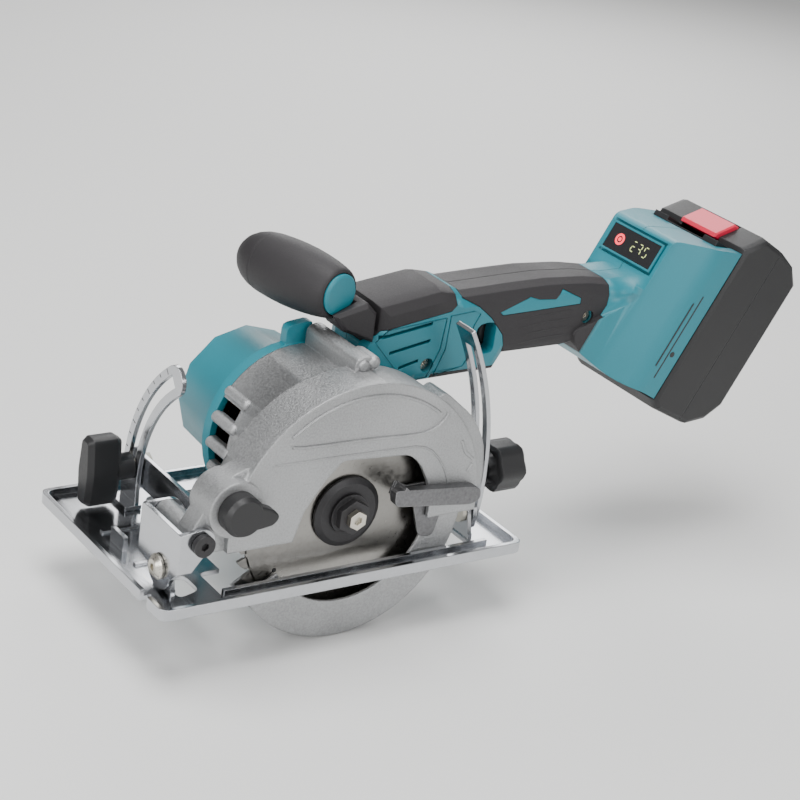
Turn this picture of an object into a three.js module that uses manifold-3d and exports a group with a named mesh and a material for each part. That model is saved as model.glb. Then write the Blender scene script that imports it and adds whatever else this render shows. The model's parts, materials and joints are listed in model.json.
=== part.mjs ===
// Compact cordless circular saw: 125 mm blade on the left, motor across the saw on the right, straight
// grip and slide-on battery at the rear. Units are millimetres, +Z is up, +X points to the rear (battery),
// -X is the cutting direction, -Y is the blade side and +Y the motor side.
//
// Inside the saw every place is measured from the blade's centre. The last group moves the whole saw so
// that the origin lies on the sole, on the middle of the front plate.

import * as THREE from 'three';
import { mergeVertices } from 'three/addons/utils/BufferGeometryUtils.js';
import Module from 'manifold-3d';

const wasm = await Module();
wasm.setup();

// ------------------------------------------------------------------ driving dimensions
const GAP = 0.3;                    // clearance between two pieces that touch
const RUN = 0.5;                    // clearance around a piece that turns or slides

const BLADE_R = 62.5;               // tip radius of the blade
const BLADE_T = 1.8;                // thickness of the blade at its teeth
const BLADE_TEETH = 40;
const BLADE_BORE_R = 10;            // arbor hole
const SPINDLE_R = 6;
const FLANGE_R = 19;                // clamping flanges of the blade
const FLANGE_T = 3;
const REST_DEPTH = 30;              // how far the blade reaches below the sole at rest

const LOWER_R = BLADE_R + 5;        // outer radius of the swinging lower guard
const LOWER_WALL = 1.5;
const LOWER_LIP_R = 47.5;           // inner radius of its blade-side face
const LOWER_HALF = 7.6;             // half its width across the blade

const UPPER_WALL = 3.5;             // rim of the cast upper guard
const UPPER_R = LOWER_R + 2.5 + UPPER_WALL;
const UPPER_SKIN = 2.5;             // its blade-side and motor-side faces
const UPPER_HALF = LOWER_HALF + 1.9;    // half the width of the hollow
const GUARD_FLOOR = -6;             // lower edge of the casting
const HUB_R = 15;                   // boss that the lower guard turns on

const GEAR_TEETH = 38;
const PINION_TEETH = 9;
const GEAR_MODULE = 1;
const GEAR_WIDTH = 8;
const MOTOR_ANGLE = 102.3;          // direction from the spindle to the motor, degrees above the rear
const DRUM_R = 47;                  // round end of the casting that the motor housing bolts to
const DRUM_WALL = 3.5;
const DRUM_L = 38;                  // its length across the saw, from the guard
const MOTOR_R = 37;                 // motor housing
const MOTOR_END_R = 33;             // its far end
const MOTOR_LENGTH = 57.5;          // its length
const MOTOR_SIDES = 12;             // its flats
const RING_T = 8;                   // round flange at its root
const STATOR_R = 27;
const FAN_R = 38;
const SHELL = 2.5;                  // wall of the moulded housings

const BASE_FRONT = 23;              // base in front of the depth pivot
const BASE_BEHIND = 30.5;           // base behind the upper guard's rim
const BASE_LEFT = 19.5;             // base beside the blade
const BASE_RIGHT = 114.5;           // base on the motor side
const PLATE_T = 2.4;                // sheet of the base
const LIP_H = 6;                    // height of its turned-up edge, with the sheet
const SHEET_T = 2.4;                // sheet of the brackets

const PIVOT_Z = 1;                  // height of the depth pivot above the spindle
const PIVOT_AHEAD = 13.5;           // depth pivot in front of the upper guard's rim
const BEVEL_Y = 7;                  // bevel axis
const BEVEL_ABOVE_PLATE = 12.6;
const QUADRANT_R = 88;              // slot radius of the bevel quadrant
const QUADRANT_HALF = 8;            // half its band
const SLOT_HALF = 3.4;
const KNOB_ANGLE = 5.5;             // bevel lock at rest, degrees above level
const BEVEL_RANGE = 45;
const STRIP_BEHIND = 15.5;          // depth strip behind the upper guard's rim
const STRIP_W = 14;
const STRIP_T = 2.4;

const HANDLE_Y = 50;                // middle plane of the handle
const HANDLE_W = 38;
const SKIN = 1.8;                   // rubber over the shell
const SPLIT = 0.15;                 // half the joint between the two handle shells
const FINGER = [91, 104, 60.5, 78]; // finger hole: front, rear, lower and upper edge
const TRIGGER_HALF = 9.2;           // half the trigger's width
const BUTTON_X = 98;                // lock-off button
const BUTTON_Z = 86.5;
const BUTTON_R = 4.5;
const PAD_TOP = 52;                 // top of the pad under the switch room
const SCREWS = [[62, 58], [166, 74]];   // screws that hold the two handle halves together
const SCREW_R = 1.7;
const SCREW_HEAD_R = 3.6;

const PACK_L = 112;                 // battery pack: along its slide, across and thick
const PACK_W = 74;
const PACK_T = 53;
const PACK_TILT = 28.6;             // its slide direction leans back from upright, degrees
const PACK_X = 232;                 // point on the joint between foot and pack
const PACK_Z = 68;
const PACK_LOW = 50.5;              // pack below that point, along the slide
const PACK_SPLIT = 27;              // joint between the two halves of its case, across the thickness
const LATCH_HALF = 14.7;
const CELL_R = 9.2;                 // 18650 cell in its wrap
const FOOT_T = 40;                  // depth of the battery foot
const FOOT_W = 72;

const AUX_X = 6.5;                  // front handle
const AUX_Z = 100;
const AUX_R = 17;
const AUX_LEAN = 13.5;              // its far end leans forward, degrees
const AUX_Y0 = 38;
const AUX_L = 68;

// ------------------------------------------------------------------ places worked out from them
const rad = THREE.MathUtils.degToRad;
const polar = (r, degrees) => [r * Math.cos(rad(degrees)), r * Math.sin(rad(degrees))];
const SOLE_Z = REST_DEPTH - BLADE_R;
const PLATE_TOP = SOLE_Z + PLATE_T;
const PIVOT_X = -(UPPER_R + PIVOT_AHEAD);
const BASE_X0 = PIVOT_X - BASE_FRONT;
const BEVEL_Z = PLATE_TOP + BEVEL_ABOVE_PLATE;
const GEAR_R = GEAR_MODULE * GEAR_TEETH / 2;
const PINION_R = GEAR_MODULE * PINION_TEETH / 2;
const [MOTOR_X, MOTOR_Z] = polar(GEAR_R + PINION_R, MOTOR_ANGLE);
const FAR_WALL = UPPER_HALF + UPPER_SKIN;
const NEAR_FACE = -UPPER_HALF - UPPER_SKIN;
const DRUM_END = FAR_WALL + DRUM_L;
const GEAR_Y0 = FAR_WALL + 2.5;
const CASE_END = GEAR_Y0 + GEAR_WIDTH + 2;
const COVER_Y0 = CASE_END + GAP;
const COVER_T = 4;
const CASE_R = GEAR_R + GEAR_MODULE + 0.8;
const MOTOR_Y0 = DRUM_END + GAP;
const MOTOR_Y1 = MOTOR_Y0 + MOTOR_LENGTH;
const STRIP_R = UPPER_R + STRIP_BEHIND - PIVOT_X;
const HALF_T = BLADE_T / 2;
const [BOLT_DY, BOLT_DZ] = polar(QUADRANT_R, KNOB_ANGLE);
const BOLT_Y = BEVEL_Y + BOLT_DY;
const BOLT_Z = BEVEL_Z + BOLT_DZ;

// ------------------------------------------------------------------ materials
const paint = (color, roughness, metalness) =>
  new THREE.MeshStandardMaterial({ color, roughness, metalness });
const castSilver = paint(0xb9bbbc, 0.55, 0.7);
const plated = paint(0xc9ced1, 0.2, 1);
const bladeSteel = paint(0xa9a8a4, 0.3, 1);
const darkSteel = paint(0x35363a, 0.45, 0.8);
const boltSteel = paint(0xc2bdae, 0.3, 1);
const teal = paint(0x2a939e, 0.45, 0);
const rubber = paint(0x3b393a, 0.8, 0);
const blackPlastic = paint(0x2b2b2d, 0.5, 0);
const greyPlastic = paint(0x4a4a4c, 0.6, 0);
const red = paint(0xe6324c, 0.4, 0);
const board = paint(0x1f6b3a, 0.6, 0);
const copper = paint(0xb4683a, 0.4, 0.9);
const bearingSteel = paint(0xb0b3b8, 0.25, 1);

// ------------------------------------------------------------------ shapes
// A closed outline: each point is [u, v] or [u, v, rounding].
function outline(points) {
  const shape = new THREE.Shape();
  points.forEach(([u, v, round = 0], i) => {
    const before = points[(i + points.length - 1) % points.length];
    const after = points[(i + 1) % points.length];
    const here = new THREE.Vector2(u, v);
    const back = new THREE.Vector2(before[0] - u, before[1] - v);
    const on = new THREE.Vector2(after[0] - u, after[1] - v);
    const reach = Math.min(round, back.length() * 0.49, on.length() * 0.49);
    const start = here.clone().add(back.setLength(reach));
    const end = here.clone().add(on.setLength(reach));
    if (i === 0) shape.moveTo(start.x, start.y);
    else shape.lineTo(start.x, start.y);
    if (reach > 0) shape.quadraticCurveTo(u, v, end.x, end.y);
  });
  shape.closePath();
  return shape;
}

// The same outline with every side moved in by a wall.
function shrink(points, wall) {
  const count = points.length;
  let area = 0;
  points.forEach(([u, v], i) => {
    const [u2, v2] = points[(i + 1) % count];
    area += u * v2 - u2 * v;
  });
  const side = Math.sign(area) * wall;
  return points.map(([u, v, round = 0], i) => {
    const before = points[(i + count - 1) % count];
    const after = points[(i + 1) % count];
    const on = new THREE.Vector2(after[0] - u, after[1] - v).normalize();
    const from = new THREE.Vector2(u - before[0], v - before[1]).normalize();
    const normal = new THREE.Vector2(-from.y - on.y, from.x + on.x).normalize();
    const reach = side / (normal.x * -on.y + normal.y * on.x);
    return [u + normal.x * reach, v + normal.y * reach, round];
  });
}

// A ring sector between two radii and two angles, in degrees.
function sector(u, v, inner, outer, from, to) {
  const shape = new THREE.Shape();
  shape.absarc(u, v, outer, rad(from), rad(to), false);
  shape.absarc(u, v, inner, rad(to), rad(from), true);
  shape.closePath();
  return shape;
}

const AXES = {
  // drawing plane (u, v) and extrusion direction w
  XY: [[1, 0, 0], [0, 1, 0], [0, 0, 1]],
  YZ: [[0, 1, 0], [0, 0, 1], [1, 0, 0]],
  XZ: [[1, 0, 0], [0, 0, 1], [0, -1, 0]],
};

function orient(geometry, plane) {
  const [u, v, w] = AXES[plane].map((axis) => new THREE.Vector3(...axis));
  return geometry.applyMatrix4(new THREE.Matrix4().makeBasis(u, v, w));
}

// Extrudes an outline between two places along the third axis. bevel = { out, along, steps } rounds the
// edges inwards.
function slab(shape, plane, low, high, { out = 0, along = out, steps = 1, curve = 5 } = {}) {
  const geometry = new THREE.ExtrudeGeometry(shape, {
    depth: high - low - 2 * along,
    curveSegments: curve,
    bevelEnabled: out > 0,
    bevelThickness: along,
    bevelSize: out,
    bevelOffset: -out,
    bevelSegments: steps,
  });
  orient(geometry, plane);
  const start = plane === 'XZ' ? -(high - along) : low + along;
  const [x, y, z] = AXES[plane][2];
  return solid(geometry.translate(x * start, y * start, z * start));
}

// Boolean solid of a closed three.js geometry.
function solid(geometry) {
  const bare = geometry.clone();
  bare.deleteAttribute('normal');
  bare.deleteAttribute('uv');
  const merged = mergeVertices(bare, 1e-3);
  return new wasm.Manifold(new wasm.Mesh({
    numProp: 3,
    vertProperties: new Float32Array(merged.attributes.position.array),
    triVerts: new Uint32Array(merged.index.array),
  }));
}

function box(x0, x1, y0, y1, z0, z1) {
  const geometry = new THREE.BoxGeometry(x1 - x0, y1 - y0, z1 - z0);
  return solid(geometry.translate((x0 + x1) / 2, (y0 + y1) / 2, (z0 + z1) / 2));
}

// Cylinders and cones along Y or X. (u, v) is the axis place: x and z, or y and z.
function rodY(x, z, r, y0, y1, sides = 32, rEnd = r) {
  const geometry = new THREE.CylinderGeometry(rEnd, r, y1 - y0, sides);
  return solid(geometry.translate(x, (y0 + y1) / 2, z));
}

function rodX(y, z, r, x0, x1, sides = 24, rEnd = r) {
  const geometry = new THREE.CylinderGeometry(rEnd, r, x1 - x0, sides).rotateZ(-Math.PI / 2);
  return solid(geometry.translate((x0 + x1) / 2, y, z));
}

// A turned piece about the Y axis through (x, z): profile points are [radius, y].
function turnY(x, z, profile, sides = 32) {
  const points = profile.map(([r, y]) => new THREE.Vector2(r, y));
  return solid(new THREE.LatheGeometry(points, sides).translate(x, 0, z));
}

function ringY(x, z, inner, outer, y0, y1, sides = 32) {
  return turnY(x, z, [[inner, y0], [outer, y0], [outer, y1], [inner, y1], [inner, y0]], sides);
}

const join = (...solids) => solids.reduce((sum, next) => sum.add(next));
const cut = (from, ...tools) => tools.reduce((rest, tool) => rest.subtract(tool), from);
const everywhere = 600;
const above = (z) => box(-everywhere, everywhere, -everywhere, everywhere, z, everywhere);
const leftOf = (y) => box(-everywhere, everywhere, -everywhere, y, -everywhere, everywhere);
const rightOf = (y) => box(-everywhere, everywhere, y, everywhere, -everywhere, everywhere);

function piece(group, name, shape, material) {
  const { vertProperties, triVerts } = shape.getMesh();
  const geometry = new THREE.BufferGeometry();
  geometry.setAttribute('position', new THREE.BufferAttribute(new Float32Array(vertProperties), 3));
  geometry.setIndex(new THREE.BufferAttribute(new Uint32Array(triVerts), 1));
  const flat = geometry.toNonIndexed();
  flat.computeVertexNormals();
  const mesh = new THREE.Mesh(flat, material);
  mesh.name = name;
  group.add(mesh);
  return mesh;
}

// ------------------------------------------------------------------ base: the pressed sheet shoe
const BASE_X1 = UPPER_R + BASE_BEHIND;
const OPEN_X0 = BASE_X0 + 50;       // large opening for the blade, its guard and the motor
const OPEN_X1 = BASE_X1 - 24;
const OPEN_Y0 = -9;
const OPEN_Y1 = BASE_RIGHT - 18.5;
const LUG_X = PIVOT_X - 8.9;        // front bevel lug, front face
const REAR_LUG_X = OPEN_X1 + 0.8;
const PIN_R = 3;
const LUG_R = 6;
const QUADRANT_X = PIVOT_X + 17.4;

function basePlate() {
  const rim = (inset) => outline([
    [BASE_X0 + inset, -BASE_LEFT + inset, 5],
    [BASE_X1 - inset, -BASE_LEFT + inset, 5],
    [BASE_X1 - inset, BASE_RIGHT - inset, 14],
    [BASE_X0 + inset, BASE_RIGHT - inset, 5],
  ]);
  const sheet = slab(rim(0), 'XY', SOLE_Z, PLATE_TOP, { curve: 4 });
  const edge = cut(
    slab(rim(0), 'XY', SOLE_Z, SOLE_Z + LIP_H, { curve: 4 }),
    slab(rim(PLATE_T), 'XY', SOLE_Z - 1, SOLE_Z + LIP_H + 1, { curve: 4 }),
  );
  const railEdge = box(OPEN_X0 - 12, OPEN_X1 + 6, OPEN_Y0 - PLATE_T, OPEN_Y0, SOLE_Z, SOLE_Z + LIP_H);
  const rearEdge = box(OPEN_X1, OPEN_X1 + PLATE_T, 24, OPEN_Y1 - 4, SOLE_Z, SOLE_Z + LIP_H);
  const opening = slab(outline([
    [OPEN_X0, OPEN_Y0],
    [OPEN_X1, OPEN_Y0, 3],
    [OPEN_X1, OPEN_Y1, 6],
    [OPEN_X0, OPEN_Y1, 6],
    [OPEN_X0, 14],
    [OPEN_X0 - 12, 14, 3],
    [OPEN_X0 - 12, OPEN_Y0],
  ]), 'XY', SOLE_Z - 1, PLATE_TOP + 1, { curve: 3 });
  const sight = slab(outline([
    [LUG_X + SHEET_T + 0.8, BEVEL_Y - 12, 4],
    [PIVOT_X + 7.5, BEVEL_Y - 8, 4],
    [PIVOT_X + 7.5, BEVEL_Y + 8, 4],
    [LUG_X + SHEET_T + 0.8, BEVEL_Y + 9, 4],
  ]), 'XY', SOLE_Z - 1, PLATE_TOP + 1, { curve: 3 });
  const sightNotch = box(BASE_X0 - 1, BASE_X0 + 6, -4, 3, SOLE_Z - 1, SOLE_Z + LIP_H + 1);
  const railSlot = box(BASE_X0 + 20, BASE_X0 + 36, -17, -14.5, SOLE_Z - 1, PLATE_TOP + 1);
  const lug = (x) => cut(
    join(
      box(x, x + SHEET_T, BEVEL_Y - 9, BEVEL_Y + 9, SOLE_Z, PLATE_TOP + 3),
      slab(outline([
        [BEVEL_Y - 9, PLATE_TOP],
        [BEVEL_Y + 9, PLATE_TOP],
        [BEVEL_Y + LUG_R, BEVEL_Z],
        [BEVEL_Y - LUG_R, BEVEL_Z],
      ]), 'YZ', x, x + SHEET_T),
      rodX(BEVEL_Y, BEVEL_Z, LUG_R, x, x + SHEET_T, 20),
    ),
    rodX(BEVEL_Y, BEVEL_Z, PIN_R + GAP, x - 1, x + SHEET_T + 1, 16),
  );
  const tab = box(LUG_X - 1, LUG_X - 1 + PLATE_T, 46, 60, SOLE_Z, SOLE_Z + 10);
  const ribs = [30, 66].map((y) => box(BASE_X0 + 12, BASE_X0 + 40, y, y + 3, PLATE_TOP - 1, PLATE_TOP + 1.2));
  return cut(
    join(cut(join(sheet, edge), opening), railEdge, rearEdge, lug(LUG_X), lug(REAR_LUG_X), tab, ...ribs),
    sight, sightNotch, railSlot,
  );
}

// Slotted quarter ring that stands on the front plate and locks the bevel angle.
function quadrant() {
  const x0 = QUADRANT_X;
  const x1 = x0 + SHEET_T;
  const top = BEVEL_RANGE + KNOB_ANGLE + 3;
  const [endY, endZ] = polar(QUADRANT_R, top);
  const end = rodX(BEVEL_Y + endY, BEVEL_Z + endZ, QUADRANT_HALF, x0, x1, 20);
  const band = slab(
    sector(BEVEL_Y, BEVEL_Z, QUADRANT_R - QUADRANT_HALF, QUADRANT_R + QUADRANT_HALF, -12, top),
    'YZ', x0, x1, { curve: 14 });
  const slot = slab(
    sector(BEVEL_Y, BEVEL_Z, QUADRANT_R - SLOT_HALF, QUADRANT_R + SLOT_HALF,
      KNOB_ANGLE - 2.4, KNOB_ANGLE + BEVEL_RANGE + 2.4),
    'YZ', x0 - 1, x1 + 1, { curve: 14 });
  const foot = box(x0 - 7, x1, BOLT_Y - 11, BOLT_Y + 7, PLATE_TOP + GAP, PLATE_TOP + GAP + SHEET_T);
  return join(cut(join(band, end), slot), foot).intersect(above(PLATE_TOP + GAP));
}

// ------------------------------------------------------------------ tilting frame
const NEAR_WALL_Y = NEAR_FACE + 1.5;            // bracket wall on the blade side
const WALL_T = 2.3;
const BARREL_R = 6.5;
const FAR_WALL_Y = FAR_WALL + 14;               // bracket wall on the motor side
const BRACKET_X = LUG_X - 0.5 - SHEET_T;        // front face of the bracket
const ARM_X = QUADRANT_X + SHEET_T + 0.8;
const BRACKET_TOP = PIVOT_Z + 6;

function frontBracket() {
  const hub = BEVEL_ABOVE_PLATE - 1.1;
  const front = join(
    slab(outline([
      [NEAR_WALL_Y, BRACKET_TOP, 3],
      [FAR_WALL_Y + WALL_T, BRACKET_TOP, 3],
      [FAR_WALL_Y + WALL_T, BEVEL_Z - 1.5],
      [BEVEL_Y + hub - 1, BEVEL_Z - 3],
      [BEVEL_Y - hub + 1, BEVEL_Z - 3],
      [NEAR_WALL_Y, BEVEL_Z + 3.5],
    ]), 'YZ', BRACKET_X, BRACKET_X + SHEET_T),
    rodX(BEVEL_Y, BEVEL_Z, hub, BRACKET_X, BRACKET_X + SHEET_T, 24),
  );
  const near = join(
    slab(outline([
      [BRACKET_X, BRACKET_TOP],
      [PIVOT_X, PIVOT_Z + 7.5],
      [PIVOT_X + 7.4, PIVOT_Z],
      [PIVOT_X - 4, BEVEL_Z + 3.5],
      [BRACKET_X, BEVEL_Z + 3.5],
    ]), 'XZ', NEAR_WALL_Y, NEAR_WALL_Y + WALL_T),
    rodY(PIVOT_X, PIVOT_Z, 7.5, NEAR_WALL_Y, NEAR_WALL_Y + WALL_T, 24),
  );
  const far = slab(outline([
    [BRACKET_X, BRACKET_TOP, 2],
    [PIVOT_X + 7, BRACKET_TOP, 5],
    [PIVOT_X + 12, BEVEL_Z + 16],
    [ARM_X + SHEET_T, BEVEL_Z + 16],
    [ARM_X + SHEET_T, BEVEL_Z - 1.5],
    [BRACKET_X, BEVEL_Z - 1.5],
  ]), 'XZ', FAR_WALL_Y, FAR_WALL_Y + WALL_T);
  const arm = join(
    box(ARM_X, ARM_X + SHEET_T, FAR_WALL_Y, BOLT_Y, BEVEL_Z - 1.5, BEVEL_Z + 16),
    rodX(BOLT_Y, BOLT_Z, 9, ARM_X, ARM_X + SHEET_T, 20),
  );
  return cut(
    join(front, near, far, arm),
    rodX(BEVEL_Y, BEVEL_Z, PIN_R + GAP, BRACKET_X - 1, BRACKET_X + SHEET_T + 1, 16),
    rodY(PIVOT_X, PIVOT_Z, PIN_R + GAP, NEAR_WALL_Y - 1, FAR_WALL_Y + WALL_T + 1, 16),
    rodX(BOLT_Y, BOLT_Z, PIN_R + GAP, ARM_X - 1, ARM_X + SHEET_T + 1, 16),
  );
}

function bevelPivotScrew() {
  const x = BRACKET_X - GAP;
  const head = join(
    rodX(BEVEL_Y, BEVEL_Z, 6.5, x - 1.2, x, 24),
    rodX(BEVEL_Y, BEVEL_Z, 4, x - 3.4, x - 1.2, 24, 6.5),
  );
  const socket = rodX(BEVEL_Y, BEVEL_Z, 2, x - 4, x - 1.6, 6);
  return cut(join(head, rodX(BEVEL_Y, BEVEL_Z, PIN_R, x - 0.5, LUG_X + SHEET_T + 0.8, 16)), socket);
}

const REAR_PLATE_X = REAR_LUG_X + SHEET_T + 0.5;

function rearBracket() {
  return cut(
    slab(outline([
      [BEVEL_Y - 7, BEVEL_Z + 6, 3],
      [BEVEL_Y + 12, BEVEL_Z + 6, 2],
      [BEVEL_Y + 38, BEVEL_Z - 4, 3],
      [BEVEL_Y + 36, BEVEL_Z - 8, 2],
      [BEVEL_Y - 7, BEVEL_Z - 8, 3],
    ]), 'YZ', REAR_PLATE_X, REAR_PLATE_X + SHEET_T - GAP, { curve: 3 }),
    rodX(BEVEL_Y, BEVEL_Z, PIN_R + GAP, REAR_PLATE_X - 1, REAR_PLATE_X + SHEET_T + 1, 16),
  );
}

function rearPin() {
  const x = REAR_LUG_X - GAP;
  return join(
    rodX(BEVEL_Y, BEVEL_Z, 5.5, x - 2.6, x, 20),
    rodX(BEVEL_Y, BEVEL_Z, PIN_R, x - 0.5, REAR_PLATE_X + SHEET_T - 2 * GAP, 16),
  );
}

const DEPTH_Y = 9.5;                // depth lock bolt
const DEPTH_Z = PIVOT_Z + 4;

function depthStrip() {
  const half = STRIP_T / 2;
  const band = slab(
    sector(PIVOT_X, PIVOT_Z, STRIP_R - half, STRIP_R + half, -7.5, 29.5),
    'XZ', DEPTH_Y - STRIP_W / 2, DEPTH_Y + STRIP_W / 2, { curve: 14 });
  const slot = slab(
    sector(PIVOT_X, PIVOT_Z, STRIP_R - half - 2, STRIP_R + half + 2, -5.4, 26),
    'XZ', DEPTH_Y - 3, DEPTH_Y + 3, { curve: 14 });
  return cut(band, slot);
}

function depthPivotScrew() {
  const y = NEAR_WALL_Y - GAP;
  const head = cut(
    rodY(PIVOT_X, PIVOT_Z, 5.6, y - 3.2, y, 24),
    rodY(PIVOT_X, PIVOT_Z, 2.2, y - 4, y - 1.2, 6),
  );
  return join(head, rodY(PIVOT_X, PIVOT_Z, PIN_R, y - 0.5, FAR_WALL_Y + WALL_T + 0.5, 16));
}

// ------------------------------------------------------------------ locking knobs
const WING_L = 38;
const WING_T = 14;

function bevelKnob() {
  const neckEnd = QUADRANT_X - 0.7;
  const wing = slab(outline([
    [BOLT_Y - WING_T / 2 + 2, BOLT_Z - WING_L / 2, 3],
    [BOLT_Y + WING_T / 2 - 2, BOLT_Z - WING_L / 2, 3],
    [BOLT_Y + WING_T / 2, BOLT_Z, 2],
    [BOLT_Y + WING_T / 2 - 2, BOLT_Z + WING_L / 2, 3],
    [BOLT_Y - WING_T / 2 + 2, BOLT_Z + WING_L / 2, 3],
    [BOLT_Y - WING_T / 2, BOLT_Z, 2],
  ]), 'YZ', neckEnd - 26.5, neckEnd - 7.5, { out: 2, along: 3, steps: 1, curve: 2 });
  return cut(
    join(wing, rodX(BOLT_Y, BOLT_Z, 7, neckEnd - 9, neckEnd, 20)),
    rodX(BOLT_Y, BOLT_Z, PIN_R + GAP, neckEnd - 18, neckEnd + 1, 16),
  );
}

function bevelBolt() {
  return rodX(BOLT_Y, BOLT_Z, PIN_R, QUADRANT_X - 18, ARM_X + SHEET_T + 5.5, 16);
}

function bevelNut() {
  const x = ARM_X + SHEET_T + GAP;
  return cut(
    rodX(BOLT_Y, BOLT_Z, 5.8, x, x + 4.5, 6),
    rodX(BOLT_Y, BOLT_Z, PIN_R + GAP, x - 1, x + 6, 16),
  );
}

const DEPTH_BOLT_R = 2.5;

function depthKnob() {
  const x = PIVOT_X + STRIP_R + STRIP_T / 2 + 0.8;
  const lobes = new THREE.Shape();
  const lobeCount = 6;
  const steps = lobeCount * 4;
  for (let i = 0; i < steps; i += 1) {
    const [u, v] = polar(12.9 + 0.9 * Math.cos(lobeCount * 2 * Math.PI * i / steps), 360 * i / steps);
    if (i === 0) lobes.moveTo(DEPTH_Y + u, DEPTH_Z + v);
    else lobes.lineTo(DEPTH_Y + u, DEPTH_Z + v);
  }
  lobes.closePath();
  return cut(
    join(
      slab(lobes, 'YZ', x + 4, x + 21.5, { out: 1.5 }),
      rodX(DEPTH_Y, DEPTH_Z, 8, x, x + 5, 20, 9.5),
    ),
    rodX(DEPTH_Y, DEPTH_Z, DEPTH_BOLT_R + GAP, x - 1, x + 12, 16),
  );
}

function depthBolt() {
  const x = PIVOT_X + STRIP_R;
  return rodX(DEPTH_Y, DEPTH_Z, DEPTH_BOLT_R, x - 12.5, x + 12, 16);
}

// ------------------------------------------------------------------ cast upper guard and gear case
const BOSS_Y0 = HALF_T + GAP + FLANGE_T + 0.6;
const BEARING_R = 11;
const LEVER_X = PIVOT_X + 15;
const LEVER_Z = PIVOT_Z + 17;
const EAR_HALF = -NEAR_WALL_Y - WALL_T - GAP;
const RIB_Z = MOTOR_Z + DRUM_R;
const LEVER_HOLE_R = 4.3;

function upperGuard() {
  const disc = rodY(0, 0, UPPER_R, NEAR_FACE, FAR_WALL, 64);
  const drum = rodY(MOTOR_X, MOTOR_Z, DRUM_R, FAR_WALL - 1, DRUM_END, 48);
  const gearCase = rodY(0, 0, CASE_R + 3.2, FAR_WALL - 1, CASE_END, 32);
  const pinionCase = rodY(MOTOR_X, MOTOR_Z, 13.5, FAR_WALL - 1, CASE_END, 24);
  const rib = slab(outline([
    [MOTOR_X + 3, RIB_Z - 6],
    [MOTOR_X + 14, RIB_Z - 6],
    [MOTOR_X + 14, RIB_Z + 9, 3],
    [MOTOR_X + 9, RIB_Z + 11, 3],
    [MOTOR_X + 3, RIB_Z + 9, 3],
  ]), 'XZ', 4, DRUM_END, { curve: 3 });
  const ear = slab(outline([
    [PIVOT_X - 4.5, PIVOT_Z - 4.6],
    [PIVOT_X + 6, PIVOT_Z - 7.3],
    [PIVOT_X + 24, GUARD_FLOOR],
    [PIVOT_X + 30, PIVOT_Z + 38, 6],
    [PIVOT_X + 9, PIVOT_Z + 30, 8],
    [PIVOT_X - 5, PIVOT_Z + 5],
  ]), 'XZ', -EAR_HALF, 4, { curve: 3 });
  const leverBoss = rodY(LEVER_X, LEVER_Z, 14.5, NEAR_FACE - 2, 6, 32);
  const barrel = rodY(PIVOT_X, PIVOT_Z, BARREL_R, -EAR_HALF, FAR_WALL_Y - GAP, 24);
  const armEnd = PIVOT_X + STRIP_R - STRIP_T / 2 - 0.8;
  const rearArm = slab(outline([
    [50, GUARD_FLOOR + 0.5],
    [60, GUARD_FLOOR + 1],
    [76, -1, 3],
    [armEnd - 0.2, -1, 2],
    [armEnd, 8],
    [armEnd - 2.6, 24, 6],
    [armEnd - 12, 40, 8],
    [54, 57, 4],
    [46, 50],
  ]), 'XZ', DEPTH_Y - 7.5, DEPTH_Y + 7.5, { curve: 3 });
  const boss = rodY(0, 0, HUB_R, BOSS_Y0, FAR_WALL, 32);

  const guardHollow = rodY(0, 0, UPPER_R - UPPER_WALL, -UPPER_HALF, UPPER_HALF, 64);
  const drumHollow = rodY(MOTOR_X, MOTOR_Z, DRUM_R - DRUM_WALL, FAR_WALL + UPPER_SKIN, DRUM_END + 1, 40);
  const window = slab(outline([
    [-37, GUARD_FLOOR - 1],
    [-32, 10],
    [-22, 25, 3],
    [-13, 34.5, 3],
    [27, 32, 4],
    [35, 25, 4],
    [42, 12, 4],
    [44, 0],
    [44, GUARD_FLOOR - 1],
  ]), 'XZ', NEAR_FACE - 1, -UPPER_HALF + 1, { curve: 3 });
  const gearRoom = join(
    rodY(0, 0, CASE_R + 0.4, FAR_WALL, CASE_END + 1, 28),
    rodY(MOTOR_X, MOTOR_Z, PINION_R + GEAR_MODULE + 1.2, FAR_WALL, CASE_END + 1, 16),
  );
  const fanSlots = [155, 172, 189].map((angle) => {
    const [u, v] = polar(DRUM_R - 2, angle);
    return box(MOTOR_X + u - 8, MOTOR_X + u + 9, DRUM_END - 17, DRUM_END + 1,
      MOTOR_Z + v - 4, MOTOR_Z + v + 4);
  });
  const body = join(disc.intersect(above(GUARD_FLOOR)), ear, leverBoss, rearArm);
  const gearBody = join(cut(drum, drumHollow), gearCase, pinionCase);
  return cut(
    join(cut(join(body, gearBody, rib, barrel), guardHollow), boss),
    window,
    gearRoom.subtract(leftOf(FAR_WALL)),
    rodY(0, 0, BEARING_R + GAP, BOSS_Y0 + 1.4, FAR_WALL + 1, 20),
    rodY(0, 0, SPINDLE_R + RUN, BOSS_Y0 - 1, FAR_WALL, 24),
    rodY(PIVOT_X, PIVOT_Z, PIN_R + GAP, -EAR_HALF - 1, FAR_WALL_Y, 16),
    rodY(LEVER_X, LEVER_Z, LEVER_HOLE_R, NEAR_FACE - 3, NEAR_FACE + 5, 20),
    rodX(DEPTH_Y, DEPTH_Z, DEPTH_BOLT_R + GAP, armEnd - 13, armEnd + 1, 16),
    ...fanSlots,
  );
}

const STUB_R = 4;
const REAR_BEARING_R = 8.5;
const SHAFT_R = 2.8;
const MOTOR_BEARING_R = 8.5;

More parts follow.
